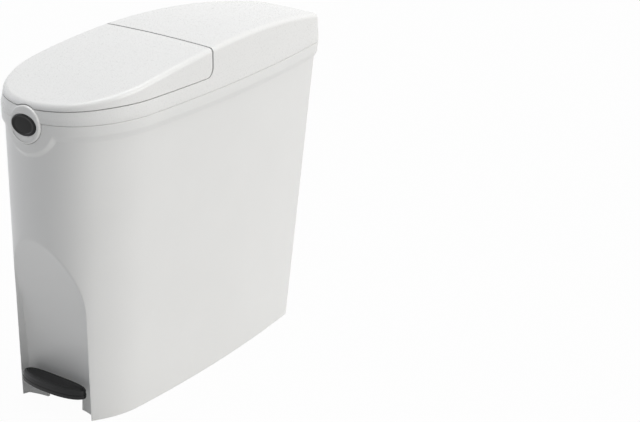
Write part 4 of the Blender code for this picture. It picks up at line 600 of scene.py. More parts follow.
def band_row(z, outward):
    """A ring of the rim band, which stops at the rear face, so that the rear cover clears it when it tips."""
    at_side = LEDGE_POINTS[:, 1] <= LEDGE_POINTS[:, 1].max() - MM
    row = body_row(z, outward * at_side)
    row[:, 1] = np.minimum(row[:, 1], REAR_Y)
    return row


def body_rows(sizes):
    """Rings from the plinth's inside round its foot, up the outside, over the rim and down the inside."""
    soft = sizes.scoop_round
    rows = [body_row(z, -BODY_WALL) for z in (FLOOR_LOW, *np.linspace(*PLINTH_RINGS), FOOT_ROUND)]
    rows += [body_row(0, FOOT_ROUND - BODY_WALL), body_row(0, -FOOT_ROUND)]
    rows += [body_row(FOOT_ROUND * 0.3, -FOOT_ROUND * 0.3, soft), body_row(FOOT_ROUND, 0, soft)]
    rows += [body_row(z, 0, soft) for z in np.linspace(*CLOSE_RINGS)]
    rows += [body_row(z, 0) for z in np.linspace(*FAR_RINGS)]
    start = FAR_RINGS[1]
    foot = dipped(BAND_Z - BAND_TAPER - BAND_EASE, DISC_RADIUS + DISC_TAPER + MM)
    rows += [body_row(start + (foot - start) * share, 0) for share in (0.25, 0.5, 0.75, 1.0)]
    for step in (0.0, 0.25, 0.5, 0.75, 1.0):
        height = dipped(BAND_Z - BAND_TAPER * (1 - step), DISC_RADIUS + DISC_TAPER * (1 - step))
        # A fifth of the rounding fills the taper's foot, and as much comes off its upper edge.
        ease = sizes.band_round * ((1 - step) ** 6 * 0.2 - step ** 6 * 0.21)
        rows.append(band_row(height, BAND_OUT * step + ease))
    face = dipped(BAND_Z + BAND_EASE, DISC_RADIUS - BAND_EASE)
    rim = RIM_Z - SEAT
    rounding = sizes.rim_round
    top = rim - rounding
    rows += [band_row(face + (top - face) * share, BAND_OUT) for share in (0.0, 0.33, 0.66, 1.0)]
    for i in range(1, 6):
        turn = math.pi / 2 * i / 5
        rows.append(band_row(top + rounding * math.sin(turn), BAND_OUT - rounding * (1 - math.cos(turn))))
    rows += [body_row(rim, -NECK_DEPTH - SEAT), body_row(rim, TONGUE_OUT)]
    rows += [body_row(TONGUE_Z - SEAT, TONGUE_OUT), body_row(TONGUE_Z, TONGUE_OUT - SEAT),
             body_row(TONGUE_Z, -BODY_WALL + SEAT), body_row(TONGUE_Z - SEAT, -BODY_WALL)]
    rows += [body_row(z, -BODY_WALL) for z in (*INNER_HIGH_RINGS, *np.linspace(*INNER_LOW_RINGS), FLOOR_HIGH)]
    return rows


def boss_room():
    """The slot in the band that the lock's boss is let into, down to the body's neck behind it."""
    half = BOSS_RADIUS + CLEAR
    outline = arc((0, BUTTON_Z), half, math.pi, math.tau, 48) + [(half, RIM_Z + PAST), (-half, RIM_Z + PAST)]
    made = prism("boss_room", outline, "Y", FRONT_Y - PAST, FRONT_Y + BOSS_RADIUS)
    neck = shell("neck", [body_row(NECK_LOW, -NECK_DEPTH), body_row(RIM_Z - SEAT - OFFSET, -NECK_DEPTH)])
    tongue = shell("tongue", [body_row(NECK_LOW, TONGUE_OUT), body_row(NECK_HIGH, TONGUE_OUT)])
    return combine(made, "DIFFERENCE", [neck, tongue])


def knuckle_places():
    """Middles of the body's knuckles, on both sides of each of the top unit's two."""
    apart = (MIDDLE_KNUCKLE + KNUCKLE) / 2 + FIT
    return [sign * KNUCKLE_X + step * apart for sign in (-1, 1) for step in (-1, 1)]


def knuckles(places, length, low, high):
    """Knuckles of the rear hinge, each with a foot between a low and a high corner (y, z)."""
    made, half = [], length / 2
    for x in places:
        made.append(cross_bar("knuckle", KNUCKLE_RADIUS, x, REAR_AXIS_Y, RIM_Z, half))
        made.append(block("knuckle_foot", (x - half + CLEAR, *low), (x + half - CLEAR, *high)))
    return made


def knuckle_rooms(places, length):
    """Rooms for the other piece's knuckles of the rear hinge, and the bores of its two pins."""
    made = [cross_bar("knuckle_room", KNUCKLE_RADIUS + KNUCKLE_ROOM, x, REAR_AXIS_Y, RIM_Z, length / 2 + FIT)
            for x in places]
    return made + [cross_bar("pin_bore", PIN_BORE, x, REAR_AXIS_Y, RIM_Z, PIN_HALF, 20)
                   for x in (-KNUCKLE_X, KNUCKLE_X)]


def hanging_lug(y, z, radius, top):
    """Outline of a lug that hangs from a height and is round at its foot."""
    return arc((y, z), radius, math.pi, math.tau, 16) + [(y + radius, top), (y - radius, top)]


def wall_x(row, y):
    """x of the right-hand wall of a ring at a given y."""
    return float(np.interp(y, row[:LAST_RIGHT, 1], row[:LAST_RIGHT, 0]))


def keeper_wall_y():
    """y of the front wall's inside, where the keeper shelf stands on it."""
    return float(body_row(KEEPER_HIGH, -BODY_WALL)[0][1])


def body_fittings():
    """Lugs, ribs, pads, shelf and knuckles that stand on the shell."""
    made = []
    for sign in (-1, 1):
        low, high = sorted(sign * x for x in LUG_X)
        made.append(prism("pivot_lug", hanging_lug(PIVOT_Y, PIVOT_Z, LUG_RADIUS, FITTING_TOP), "X", low, high))
        made.append(block("plinth_rib", (sign * RIB_X - RIB_HALF, RIB_YS[0], RIB_Z),
                          (sign * RIB_X + RIB_HALF, RIB_YS[1], FITTING_TOP)))
    for z in GUIDE_ZS:
        made.append(block("guide_pad", (GUIDE_FACE_X, ROD_Y - GUIDE_HALF_Y, z - GUIDE_HALF_Z),
                          (wall_x(body_row(z, -BODY_WALL / 2), ROD_Y), ROD_Y + GUIDE_HALF_Y, z + GUIDE_HALF_Z)))
    keeper_y = keeper_wall_y()
    made.append(block("keeper", (-KEEPER_HALF, keeper_y - BODY_WALL / 2, KEEPER_LOW),
                      (KEEPER_HALF, keeper_y + KEEPER_REACH, KEEPER_HIGH)))
    low, high = KNUCKLE_FOOT
    return made + knuckles(knuckle_places(), KNUCKLE, (REAR_Y + TONGUE_OUT, RIM_Z - low), (REAR_AXIS_Y, RIM_Z - high))


def body_cuts():
    """The notch, the lock's opening, and the holes for pins, rod and screws."""
    made = [cross_bar("pivot_bore", PIVOT_BORE, 0, PIVOT_Y, PIVOT_Z, PIN_HALF),
            bar("rod_hole", ROD_HOLE, (ROD_X, ROD_Y, FLOOR_LOW - PAST), (ROD_X, ROD_Y, FLOOR_HIGH + PAST), 32)]
    side, top = NOTCH_HALF - NOTCH_ROUND, NOTCH_Z - NOTCH_ROUND
    notch = [(-NOTCH_HALF, -PAST), (NOTCH_HALF, -PAST)] + arc((side, top), NOTCH_ROUND, 0, math.pi / 2, 12)
    notch += arc((-side, top), NOTCH_ROUND, math.pi / 2, math.pi, 12)
    made.append(prism("notch", notch, "Y", SCOOP_FLOOR_Y - NOTCH_AHEAD, SCOOP_FLOOR_Y + NOTCH_BEHIND))
    clear_x, clear_z = HOUSING_X + CLEAR, HOUSING_Z + CLEAR
    opening = [(x * clear_x, BUTTON_Z + z * clear_z) for x, z in arc((0, 0), 1, math.pi, math.tau, 31)]
    opening += [(clear_x, RIM_Z + PAST), (-clear_x, RIM_Z + PAST)]
    made += [boss_room(), prism("lock_opening", opening, "Y", FRONT_Y - PAST, FRONT_Y + HOUSING_X)]
    start, end = GUIDE_HOLE_XS
    made += [bar("guide_hole", SCREW_HOLE, (start, y, z), (end, y, z), 16)
             for z in GUIDE_ZS for y in (ROD_Y - GUIDE_SCREW_Y, ROD_Y + GUIDE_SCREW_Y)]
    return made + knuckle_rooms((-KNUCKLE_X, KNUCKLE_X), MIDDLE_KNUCKLE)


class OBJECT_OT_container_body(BuildStep, bpy.types.Operator):
    """Builds the tapered outer body with its proud rim band, scoop, notch and fittings"""
    bl_idname = "object.container_body"
    bl_label = "Outer body"

    def build(self, sizes, colours):
        made = shell("tapered_body", body_rows(sizes))
        combine(made, "UNION", body_fittings())
        combine(made, "DIFFERENCE", body_cuts())
        shade(made, 32)
        white = moulded_polypropylene("Moulded white polypropylene, body", colours.white, 0.34)
        dress(made, white, "container_body", "outer_body")


# Top unit

def crown_z(x, y):
    """The crown's arch, which falls from its peak to the rear and, straightening out, to the nose."""
    ahead = np.maximum(CROWN_PEAK_Y - y, 0) / (CROWN_PEAK_Y - FRONT_Y)
    behind = np.maximum(y - CROWN_PEAK_Y, 0) / (REAR_Y - CROWN_PEAK_Y)
    front = (np.hypot(CROWN_EASE, ahead) - CROWN_EASE) / (math.hypot(CROWN_EASE, 1) - CROWN_EASE)
    return CROWN_Z - CROWN_FRONT_FALL * front - CROWN_REAR_FALL * behind ** 2 - x * x / (2 * CROWN_CROSS)


def crown_row(outward, z):
    """One ring of the top unit; z is a height or a drop below the crown when it is negative."""
    points = RIM_POINTS + RIM_NORMALS * outward
    heights = crown_z(points[:, 0], points[:, 1]) + z if z <= 0 else np.full(COUNT, z)
    return np.column_stack([points, heights])


def crown_shell(name):
    """The whole top unit's wall, from the inside of the crown down to the foot and up to its top."""
    rows = []
    inner = SHOULDER_RADIUS - TOP_WALL
    start = SKIRT_OUT - SHOULDER_INSET - TOP_WALL
    for i in range(6, -1, -1):
        turn = math.pi / 2 * i / 6
        rows.append(crown_row(start - inner * (1 - math.cos(turn)), -TOP_WALL - inner * (1 - math.sin(turn))))
    rows += [crown_row(SKIRT_OUT - TOP_WALL, RIM_Z + SKIRT_HEIGHT), crown_row(SKIRT_OUT - TOP_WALL, RIM_Z + SEAT),
             crown_row(SKIRT_OUT - TOP_WALL + SEAT, RIM_Z)]
    rows += [crown_row(SKIRT_OUT - SKIRT_ROUND * (1 - math.sin(t)), RIM_Z + SKIRT_ROUND * (1 - math.cos(t)))
             for t in [math.pi / 2 * i / 4 for i in range(5)]]
    rows.append(crown_row(SKIRT_OUT, RIM_Z + SKIRT_HEIGHT / 2))
    low = crown_row(SKIRT_OUT, RIM_Z + SKIRT_HEIGHT)
    high = crown_row(SKIRT_OUT - SHOULDER_INSET, -SHOULDER_RADIUS)
    rows += [low + (high - low) * share for share in (0.0, 0.2, 0.4, 0.6, 0.8)]
    for i in range(13):
        turn = math.pi / 2 * i / 12
        rows.append(crown_row(SKIRT_OUT - SHOULDER_INSET - SHOULDER_RADIUS * (1 - math.cos(turn)),
                              -SHOULDER_RADIUS * (1 - math.sin(turn)) or -1e-9))
    return shell(name, rows, lambda x, y: crown_z(x, y) - TOP_WALL, crown_z)


def seam_z(y):
    """Height of the seam, which dips a little towards the nose."""
    ahead = max(0.0, min(1.0, (FRONT_Y + SEAM_DIP_LENGTH - y) / SEAM_DIP_LENGTH))
    return SEAM_Z - SEAM_DIP * ahead * ahead


def seam_zone(name, gap, rear_gap):
    """The space above the seam and ahead of the lid's rear edge."""
    rear = SEAM_Y - rear_gap
    radius = SEAM_CORNER - gap
    start = FRONT_Y - 2 * PAST
    ys = [start] + [FRONT_Y + SEAM_DIP_LENGTH * i / 24 for i in range(25)]
    low = [(y, seam_z(y) + gap) for y in ys]
    corner = arc((rear - radius, SEAM_Z + gap + radius), radius, -math.pi / 2, 0, 16)
    return prism(name, low + corner + [(rear, SEAM_CUT_TOP), (start, SEAM_CUT_TOP)], "X",
                 -RIM_PLAN[1], RIM_PLAN[1])


def boss_bump(name, gap):
    """The boss's rise into the lid's lower edge, blended into the seam on both sides."""
    seam = seam_z(BOSS_Y) + gap
    radius = BOSS_RADIUS + OFFSET + gap
    blend = BOSS_BLEND - gap
    rise = seam + blend - BUTTON_Z
    blend_x = math.sqrt((radius + blend) ** 2 - rise * rise)
    lean = math.atan2(rise, blend_x)
    left = arc((-blend_x, seam + blend), blend, -math.pi / 2, -lean, 14)
    over = arc((0, BUTTON_Z), radius, math.pi - lean, lean, 31)
    right = arc((blend_x, seam + blend), blend, math.pi + lean, 3 * math.pi / 2, 14)
    base = RIM_Z + SKIRT_HEIGHT
    outline = [(-blend_x, base)] + left + over[1:-1] + right + [(blend_x, base)]
    return prism(name, outline, "Y", FRONT_Y - 2 * PAST, FRONT_Y + BOSS_RADIUS)


def boss():
    """The round boss about the lock button, with a rounded rim."""
    rear = FRONT_Y + BOSS_RADIUS / 2
    depth = rear - BOSS_Y
    rim = [(BOSS_RADIUS - BOSS_EDGE + x, depth - BOSS_EDGE + z)
           for x, z in reversed(arc((0, 0), BOSS_EDGE, 0, math.pi / 2, 6))]
    place = Matrix.Translation((0, rear, BUTTON_Z)) @ Matrix.Rotation(math.pi / 2, 4, "X")
    made = turned("lock_boss", [(0, depth)] + rim + [(BOSS_RADIUS, 0), (0, 0)], place, 96)
    out = CLEAR - NECK_DEPTH
    return combine(made, "DIFFERENCE", [shell("neck_room", [body_row(NECK_LOW, out), body_row(RIM_Z - OFFSET, out)])])


def crescent():
    """A shallow sink in the boss's face under the button."""
    low = arc((0, BUTTON_Z), CRESCENT_RADIUS, math.radians(212), math.radians(328), 24)
    high = [(x * (BUTTON_HALF_X + CRESCENT_WIDTH), BUTTON_Z + z * (BUTTON_HALF_Z + CRESCENT_WIDTH))
            for x, z in arc((0, 0), 1, math.radians(318), math.radians(222), 20)]
    return prism("crescent", low + high, "Y", BOSS_Y - PAST, BOSS_Y + CRESCENT_DEPTH)


def cover_rib(y):
    """A thin stiffening rib across the inside of the rear cover."""
    top = [(x, float(crown_z(x, y)) - TOP_WALL / 2) for x in np.linspace(-COVER_RIB_X, COVER_RIB_X, 25)]
    low = [(x, z - COVER_RIB_DEPTH) for x, z in reversed(top)]
    return prism("cover_rib", top + low, "Y", y - COVER_RIB_HALF, y + COVER_RIB_HALF)


def deck_lug_x(y):
    """x of the frame's inside wall, where a lug for the deck's screw stands on it."""
    return wall_x(RIM_POINTS, y) + SKIRT_OUT - TOP_WALL


def frame_fittings():
    """Boss, knuckles, latch housing, lugs, ears and ribs that stand on the frame's wall."""
    made = [boss()] + knuckles((-KNUCKLE_X, KNUCKLE_X), MIDDLE_KNUCKLE, (REAR_AXIS_Y, RIM_Z + MM),
                               (REAR_Y + SKIRT_OUT - TOP_WALL / 2, RIM_Z + SKIRT_HEIGHT))
    made.append(prism("housing", oval(HOUSING_X, HOUSING_Z, (0, BUTTON_Z)), "Y", BOSS_Y + HOUSING_WALL,
                      HOUSING_BACK_Y))
    made += [bar("latch_boss", LATCH_BOSS_RADIUS, (x, HOUSING_BACK_Y - LATCH_BOSS_LENGTH, BUTTON_Z),
                 (x, HOUSING_BACK_Y, BUTTON_Z)) for x in (-LATCH_SCREW_X, LATCH_SCREW_X)]
    for y in DECK_LUG_YS:
        for sign in (-1, 1):
            low, high = sorted((sign * (deck_lug_x(y) - DECK_LUG_REACH), sign * (deck_lug_x(y) + SEAT)))
            made.append(block("deck_lug", (low, y - DECK_LUG_HALF, DECK_Z - SEAT - DECK_LUG_DEPTH),
                              (high, y + DECK_LUG_HALF, DECK_Z - SEAT)))
    top = float(crown_z(EAR_X, HINGE_Y)) - TOP_WALL / 2
    made += [prism("hinge_ear", hanging_lug(HINGE_Y, HINGE_Z, EAR_HALF, top), "X", x - ARM_THICKNESS / 2,
                   x + ARM_THICKNESS / 2) for x in (-EAR_X, EAR_X)]
    return made + [cover_rib(y) for y in COVER_RIB_YS]


def frame_cuts():
    """The lid's opening, the crescent, the lock's room, and the holes for knuckles, pins and screws."""
    zone = seam_zone("lid_opening", 0, 0)
    combine(zone, "DIFFERENCE", [boss_bump("bump", 0)])
    made = [zone, crescent()] + knuckle_rooms(knuckle_places(), KNUCKLE)
    made.append(prism("button_hole", oval(BUTTON_HALF_X + FIT, BUTTON_HALF_Z + FIT, (0, BUTTON_Z)), "Y",
                      BOSS_Y - PAST, HOUSING_BACK_Y + PAST))
    made.append(block("hook_slot", (-HOOK_HALF, keeper_wall_y() + HOOK_REACH, BUTTON_Z - 2 * HOUSING_Z),
                      (HOOK_HALF, HOUSING_BACK_Y + PAST, BUTTON_Z - BUTTON_HALF_Z / 2)))
    made += [bar("latch_hole", SCREW_HOLE, (x, HOUSING_BACK_Y + PAST, BUTTON_Z),
                 (x, HOUSING_BACK_Y - LATCH_HOLE_LENGTH, BUTTON_Z), 16) for x in (-LATCH_SCREW_X, LATCH_SCREW_X)]
    for y in DECK_LUG_YS:
        x = deck_lug_x(y) - DECK_LUG_REACH / 2
        made += [bar("lug_hole", SCREW_HOLE, (side, y, DECK_TOP + PAST), (side, y, DECK_Z - PAST), 16)
                 for side in (-x, x)]
    made.append(cross_bar("ear_bore", HINGE_BORE, 0, HINGE_Y, HINGE_Z, EAR_X + ARM_THICKNESS))
    return made


class OBJECT_OT_container_frame(BuildStep, bpy.types.Operator):
    """Builds the top unit's frame: band, boss, latch housing, rear cover and hinge ears"""
    bl_idname = "object.container_frame"
    bl_label = "Top frame"

    def build(self, sizes, colours):
        made = crown_shell("band_and_rear_cover")
        combine(made, "UNION", frame_fittings())
        combine(made, "DIFFERENCE", frame_cuts())
        round_edges(made, sizes.edge_round)
        shade(made)
        white = moulded_polypropylene("Moulded white polypropylene, frame", colours.white, 0.28)
        dress(made, white, "top_unit", "top_frame")


def arm_outline():
    """Side view of a lid arm, from the lid's inside down, back under the frame and up to the hinge's eye."""
    low, high = PEG_Z - ARM_HALF, PEG_Z + ARM_HALF
    far = HINGE_Y - ARM_REACH
    lid_z = float(crown_z(ARM_X, far)) - TOP_WALL / 2
    return [(far - ARM_HALF, lid_z), (far - ARM_HALF, low + ARM_HALF), (far, low), (HINGE_Y - ARM_HALF, low),
            (HINGE_Y + EYE_RADIUS, HINGE_Z - EYE_RADIUS / 3), (HINGE_Y - EYE_RADIUS, HINGE_Z - EYE_RADIUS / 3),
            (HINGE_Y - ARM_THROAT, high), (far + ARM_HALF, high), (far + ARM_HALF, lid_z)]


class OBJECT_OT_container_lid(BuildStep, bpy.types.Operator):
    """Builds the lid with its rounded seam edges, hinge arms and lifting peg"""
    bl_idname = "object.container_lid"
    bl_label = "Lid"

    def build(self, sizes, colours):
        made = crown_shell("front_lid")
        intersect(made, seam_zone("lid_space", SEAM_GAP, SEAM_REAR_GAP))
        combine(made, "DIFFERENCE", [boss_bump("boss_room", SEAM_GAP)])
        round_edges(made, sizes.edge_round)
        arms = []
        half = ARM_THICKNESS / 2
        for x in (-ARM_X, ARM_X):
            arms.append(prism("arm", arm_outline(), "X", x - half, x + half))
            arms.append(cross_bar("eye", EYE_RADIUS, x, HINGE_Y, HINGE_Z, half - OFFSET, 48))
        arms.append(bar("lift_peg", PEG_RADIUS, (ARM_X, PEG_Y, PEG_Z), (ROD_X + PEG_REACH, PEG_Y, PEG_Z)))
        combine(made, "UNION", arms)
        reach = ARM_X + ARM_THICKNESS
        combine(made, "DIFFERENCE", [cross_bar("eye_bore", HINGE_BORE, 0, HINGE_Y, HINGE_Z, reach)])
        shade(made)
        white = moulded_polypropylene("Moulded white polypropylene, lid", colours.white, 0.28)
        dress(made, white, "front_lid", "lid")


# Lock button and pedal

class OBJECT_OT_container_button(BuildStep, bpy.types.Operator):
    """Builds the oval lock button: a shallow dome in a raised rim, with a rounded edge"""
    bl_idname = "object.container_button"
    bl_label = "Lock button"

    def build(self, sizes, colours):
        low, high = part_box("lock_button")
        half, depth = (high.x - low.x) / 2, high.y - low.y
        rim = [(0, -0.30), (0.30, -0.32), (0.52, -0.42), (0.66, -0.62), (0.72, -0.72), (0.76, -0.55), (0.80, -0.12),
               (0.845, 0.0), (0.89, -0.06), (0.93, -0.28), (0.962, -0.66), (0.985, -1.25), (1.0, -2.2)]
        profile = [(half * share, depth + step * MM) for share, step in rim]
        profile += [(half, 0.4 * MM), (half - 0.4 * MM, 0), (0, 0)]
        place = Matrix.Translation((0, high.y, BUTTON_Z)) @ Matrix.Rotation(math.pi / 2, 4, "X")
        made = turned("oval_lock_button", profile, place, 96, BUTTON_HALF_Z / BUTTON_HALF_X)
        shade(made, 50, False)
        black = gloss_abs("Polished black ABS", colours.black)
        dress(made, black, "lock", "lock_button")


# Rings of the pad, as inset and height in millimetres: the side's above its underside, the top's below its
# crown, where a ridge stands on those that a third value marks
SIDE_RINGS = ((6, 0.3), (0.9, 0), (0.3, 0.25), (0, 0.9), (0, 4.6), (0.15, 5.2), (0.75, 5.5), (0.85, 5.9), (0.45, 6.4))
TOP_RINGS = ((0.5, 4.4, 0), (0.9, 3.1, 0), (1.6, 2.1, 0), (2.5, 1.45, 0), (3.1, 1.25, 0), (3.4, 1.2, 0),
             (3.7, 1.2, 1), (4.6, 0.9, 1), (4.9, 0.85, 0), (5.8, 0.7, 0), (6.1, 0.65, 1), (7.0, 0.6, 1),
             (7.3, 0.55, 0), (9.5, 0.3, 0), (13, 0.1, 0))
LEVER_CHANNEL = ((-0.0103, -0.0728, -0.013), (0.0103, 0, 0.0023))


def pad_ring(bm, inset, z, steps=56):
    """A ring of the pad: a bowed front, a rear that curls forward, and blunt tips that the inset draws in."""
    front, rear = [], []
    for i in range(steps + 1):
        share = math.sin(math.pi / 2 * (2 * i / steps - 1))
        reach = min(1.0, abs(share))
        low = PEDAL_FRONT_Y + PEDAL_FRONT_BOW * reach ** 2.6
        high = PEDAL_REAR_Y - PEDAL_REAR_BOW * reach ** 3.2
        half = (high - low) / 2 * (1 - reach ** 14) ** 0.45 * max(0.0, 1 - inset / PEDAL_DRAW)
        x = share * (PEDAL_HALF - inset * 1.3)
        front.append((x, (low + high) / 2 - half, z))
        rear.append((x, (low + high) / 2 + half, z))
    return [bm.verts.new(p) for p in front + rear[::-1]]


class OBJECT_OT_container_pedal(BuildStep, bpy.types.Operator):
    """Builds the foot pad: a swept, crowned form with ridges that follow its front edge"""
    bl_idname = "object.container_pedal"
    bl_label = "Pedal pad"

    def build(self, sizes, colours):
        bm = bmesh.new()
        rings = [pad_ring(bm, inset * MM, PEDAL_LOW + rise * MM) for inset, rise in SIDE_RINGS]
        rings += [pad_ring(bm, inset * MM, PEDAL_HIGH - drop * MM + ridge * sizes.ridge_height)
                  for inset, drop, ridge in TOP_RINGS]
        bridge(bm, rings)
        for ring in (rings[0], rings[-1]):
            for i in range(len(ring) // 2 - 1):
                bm.faces.new((ring[i], ring[i + 1], ring[-i - 2], ring[-i - 1]))
        bmesh.ops.remove_doubles(bm, verts=bm.verts, dist=MM / 50)
        made = object_of("foot_pad", bm)
        channel = block("channel", *LEVER_CHANNEL)
        channel.data.transform(LEVER_FRAME)
        combine(made, "DIFFERENCE", [channel])
        shade(made, 45)
        black = grained_polymer("Grained black polypropylene", colours.black, 0.42)
        dress(made, black, "pedal", "pedal_pad")


# Springs and screws

def wire(name, points, radius, sides):
    """A round wire along a line of points, closed at its ends."""
    points = np.array(points, float)
    along = np.gradient(points, axis=0)
    along /= np.linalg.norm(along, axis=1)[:, None]
    side = np.cross(along[0], (0.31, 0.87, 0.38))
    bm = bmesh.new()
    rings = []
    for point, ahead in zip(points, along):
        side = side - ahead * (side @ ahead)
        side /= np.linalg.norm(side)
        up = np.cross(ahead, side)
        turns = [math.tau * k / sides for k in range(sides)]
        rings.append([bm.verts.new(point + radius * (math.cos(t) * side + math.sin(t) * up)) for t in turns])
    bridge(bm, rings)
    bm.faces.new(rings[0])
    bm.faces.new(rings[-1])
    return shade(object_of(name, bm), 60, False)


def coil_points(radius, gauge, turns, start, end):
    """A coil's line, with one closed turn at each end and an even pitch between."""
    start, end = Vector(start), Vector(end)
    along = end - start
    place = Matrix.Translation(start) @ along.to_track_quat("Z", "Y").to_matrix().to_4x4()
    length = along.length - gauge
    closed = gauge * 1.03
    open_turns = turns - 2
    points = []
    for i in range(turns * 28 + 1):
        turn = i / 28
        climb = closed * min(turn, 1) + closed * max(0.0, turn - turns + 1)
        climb += (length - 2 * closed) * min(max(turn - 1, 0.0), open_turns) / open_turns
        points.append(place @ Vector((radius * math.cos(math.tau * turn), radius * math.sin(math.tau * turn),
                                      gauge / 2 + climb)))
    return points


class OBJECT_OT_container_springs(BuildStep, bpy.types.Operator):
    """Builds the wound springs of the push rod, the lock button and the privacy flap"""
    bl_idname = "object.container_springs"
    bl_label = "Springs"

    def build(self, sizes, colours):
        steel = zinc_plated_steel("Drawn spring steel", "B4B5B4", 0.34)
        rows = (("rod_return_spring", "rod_coil", "container_body", 4.0, 1.0, 11, "Z"),
                ("button_spring", "button_coil", "top_unit", 3.4, 0.7, 7, "Y"),
                ("flap_spring", "flap_coil", "top_unit", 2.5, 0.7, 9, "X"))
        for node, name, body, radius, gauge, turns, axis in rows:
            low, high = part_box(node)
            middle = (low + high) / 2
            start, end = middle.copy(), middle.copy()
            start["XYZ".index(axis)] = low["XYZ".index(axis)]
            end["XYZ".index(axis)] = high["XYZ".index(axis)]
            if node == "rod_return_spring":
                start.x = end.x = ROD_X
                start.y = end.y = ROD_Y
            line = coil_points(radius * MM, gauge * MM, turns, start, end)
            made = wire(name, line, gauge * MM / 2, sizes.spring_sides)
            dress(made, steel, body, node)
            if node == "rod_return_spring":
                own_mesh(made)


def screw_mesh():
    """A pan-head screw with a cross recess and a rolled thread, head up, its seat at z 0."""
    shank, core, length = 1.5 * MM, 1.2 * MM, 6.0 * MM
    profile = [(0, 1.6), (0.9, 1.58), (1.8, 1.45), (2.45, 1.2), (2.85, 0.8), (3.0, 0.4), (2.97, 0.12), (2.85, 0.0)]
    profile = [(r * MM, z * MM) for r, z in profile] + [(shank, 0)]
    depth = 0.4 * MM
    while depth < length - 1.0 * MM:
        profile += [(core, -depth), (core, -depth - 0.12 * MM), (shank, -depth - 0.32 * MM),
                    (core, -depth - 0.52 * MM)]
        depth += 0.62 * MM
    profile += [(core, -length + 0.9 * MM), (shank * 0.35, -length + 0.2 * MM), (0, -length)]
    made = turned("screw", profile, Matrix.Identity(4), 28)
    slots = [block("slot", (-x * MM, -y * MM, 0.75 * MM), (x * MM, y * MM, 2 * MM))
             for x, y in ((1.6, 0.33), (0.33, 1.6))]
    combine(made, "DIFFERENCE", slots)
    mesh = made.data
    bpy.data.objects.remove(made, do_unlink=True)
    return mesh


class OBJECT_OT_container_screws(BuildStep, bpy.types.Operator):
    """Builds the cross-recess screws where the frame has them"""
    bl_idname = "object.container_screws"
    bl_label = "Screws"

    def build(self, sizes, colours):
        steel = zinc_plated_steel("Zinc plated screw steel", "CFCFCB", 0.26)
        mesh = screw_mesh()
        tilt = LEVER_FRAME.to_3x3() @ Vector((0, 0, -1))
        ups = {"pad_screw": ("pedal", tilt), "guide_screw": ("container_body", Vector((-1, 0, 0))),
               "deck_screw": ("top_unit", Vector((0, 0, 1))), "latch_screw": ("top_unit", Vector((0, 1, 0)))}
        for node, source in sorted(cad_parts.items()):
            kind = next((k for k in ups if node.startswith(k)), None)
            if not kind:
                continue
            body, up = ups[kind]
            points = np.array([v.co for v in source.data.vertices])
            heights = points @ np.array(up)
            middle = Vector(points.mean(axis=0))
            seat = middle + up * (heights.max() - 1.6 * MM - middle.dot(up))
            made = object_from("cross_" + node, mesh.copy())
            made.data.transform(Matrix.Translation(seat) @ up.to_track_quat("Z", "Y").to_matrix().to_4x4())
            shade(made, 40, False)
            dress(made, steel, body, node)


# Inner pieces that keep their CAD shape

class OBJECT_OT_container_inner(BuildStep, bpy.types.Operator):
    """Finishes the bucket, bag ring, deck, flap, guides, latch and buffers"""
    bl_idname = "object.container_inner"
    bl_label = "Inner pieces"

    def build(self, sizes, colours):
        colours = colours
        white = moulded_polypropylene("Moulded white polypropylene, inside", colours.white, 0.42)
        grey = grained_polymer("Moulded grey nylon", colours.grey, 0.45, 1.2, 0.02, 1.53)
        bucket = moulded_polypropylene("Moulded grey polypropylene", colours.bucket, 0.40)
        rubber = grained_polymer("Moulded black rubber", linear("1C1C1B"), 0.72, 0.7, 0.02, 1.52)
        dress_nodes(("inner_deck", "privacy_flap"), white, 0.35 * MM)
        dress_nodes(("inner_bucket",), bucket, 0.4 * MM)
        dress_nodes(("bag_ring", "rod_guide_lower", "rod_guide_upper", "push_rod_cap", "latch_slider",
                     "latch_cover"), grey, 0.3 * MM)
        dress_nodes(("lid_buffer_left", "lid_buffer_right"), rubber)


class OBJECT_OT_container_metal(BuildStep, bpy.types.Operator):
    """Finishes the lever, push rod, collar, pins and clip"""
    bl_idname = "object.container_metal"
    bl_label = "Metal pieces"

    def build(self, sizes, colours):
        steel = zinc_plated_steel("Zinc plated drawn steel")
        dress_nodes(("push_rod", "rod_collar", "pedal_pivot_pin", "pivot_clip", "lid_hinge_rod", "flap_pin",
                     "rear_hinge_pin_left", "rear_hinge_pin_right"), steel, 0.15 * MM)
        dress_nodes(("pedal_lever",), steel, 0.5 * MM)


# Stage

# Camera, fitted to the photograph's outlines: the lens in the picture's pixels, angles in degrees
CAMERA = {"focal_px": 1893.95, "frame_px": 640, "centre_px": 160, "azimuth": 38.21, "elevation": 20.54,
          "roll": 1.50, "eye": (1.5267, -1.94655, 1.1487)}
FLOOR_SIZE, FLOOR_DROP, FLOOR_GLOW = 14, 0.0004, 0.97


def add_sun(name, direction, strength, spread, colour):
    lamp = bpy.data.lights.new(name, "SUN")
    lamp.energy = strength
    lamp.angle = math.radians(spread)
    lamp.color = linear(colour)
    made = object_from(name, lamp)
    made.rotation_euler = Vector(direction).to_track_quat("Z", "Y").to_euler()


def seen_rays(tree):
    """One for a ray that the camera sends, also in a reflection or through glass, and nought for the rest."""
    rays = add_node(tree, "ShaderNodeLightPath").outputs
    seen = rays["Is Camera Ray"]
    for other in ("Is Glossy Ray", "Is Transmission Ray"):
        seen = add_node(tree, "ShaderNodeMath", {0: seen, 1: rays[other]}, operation="MAXIMUM").outputs["Value"]
    return seen


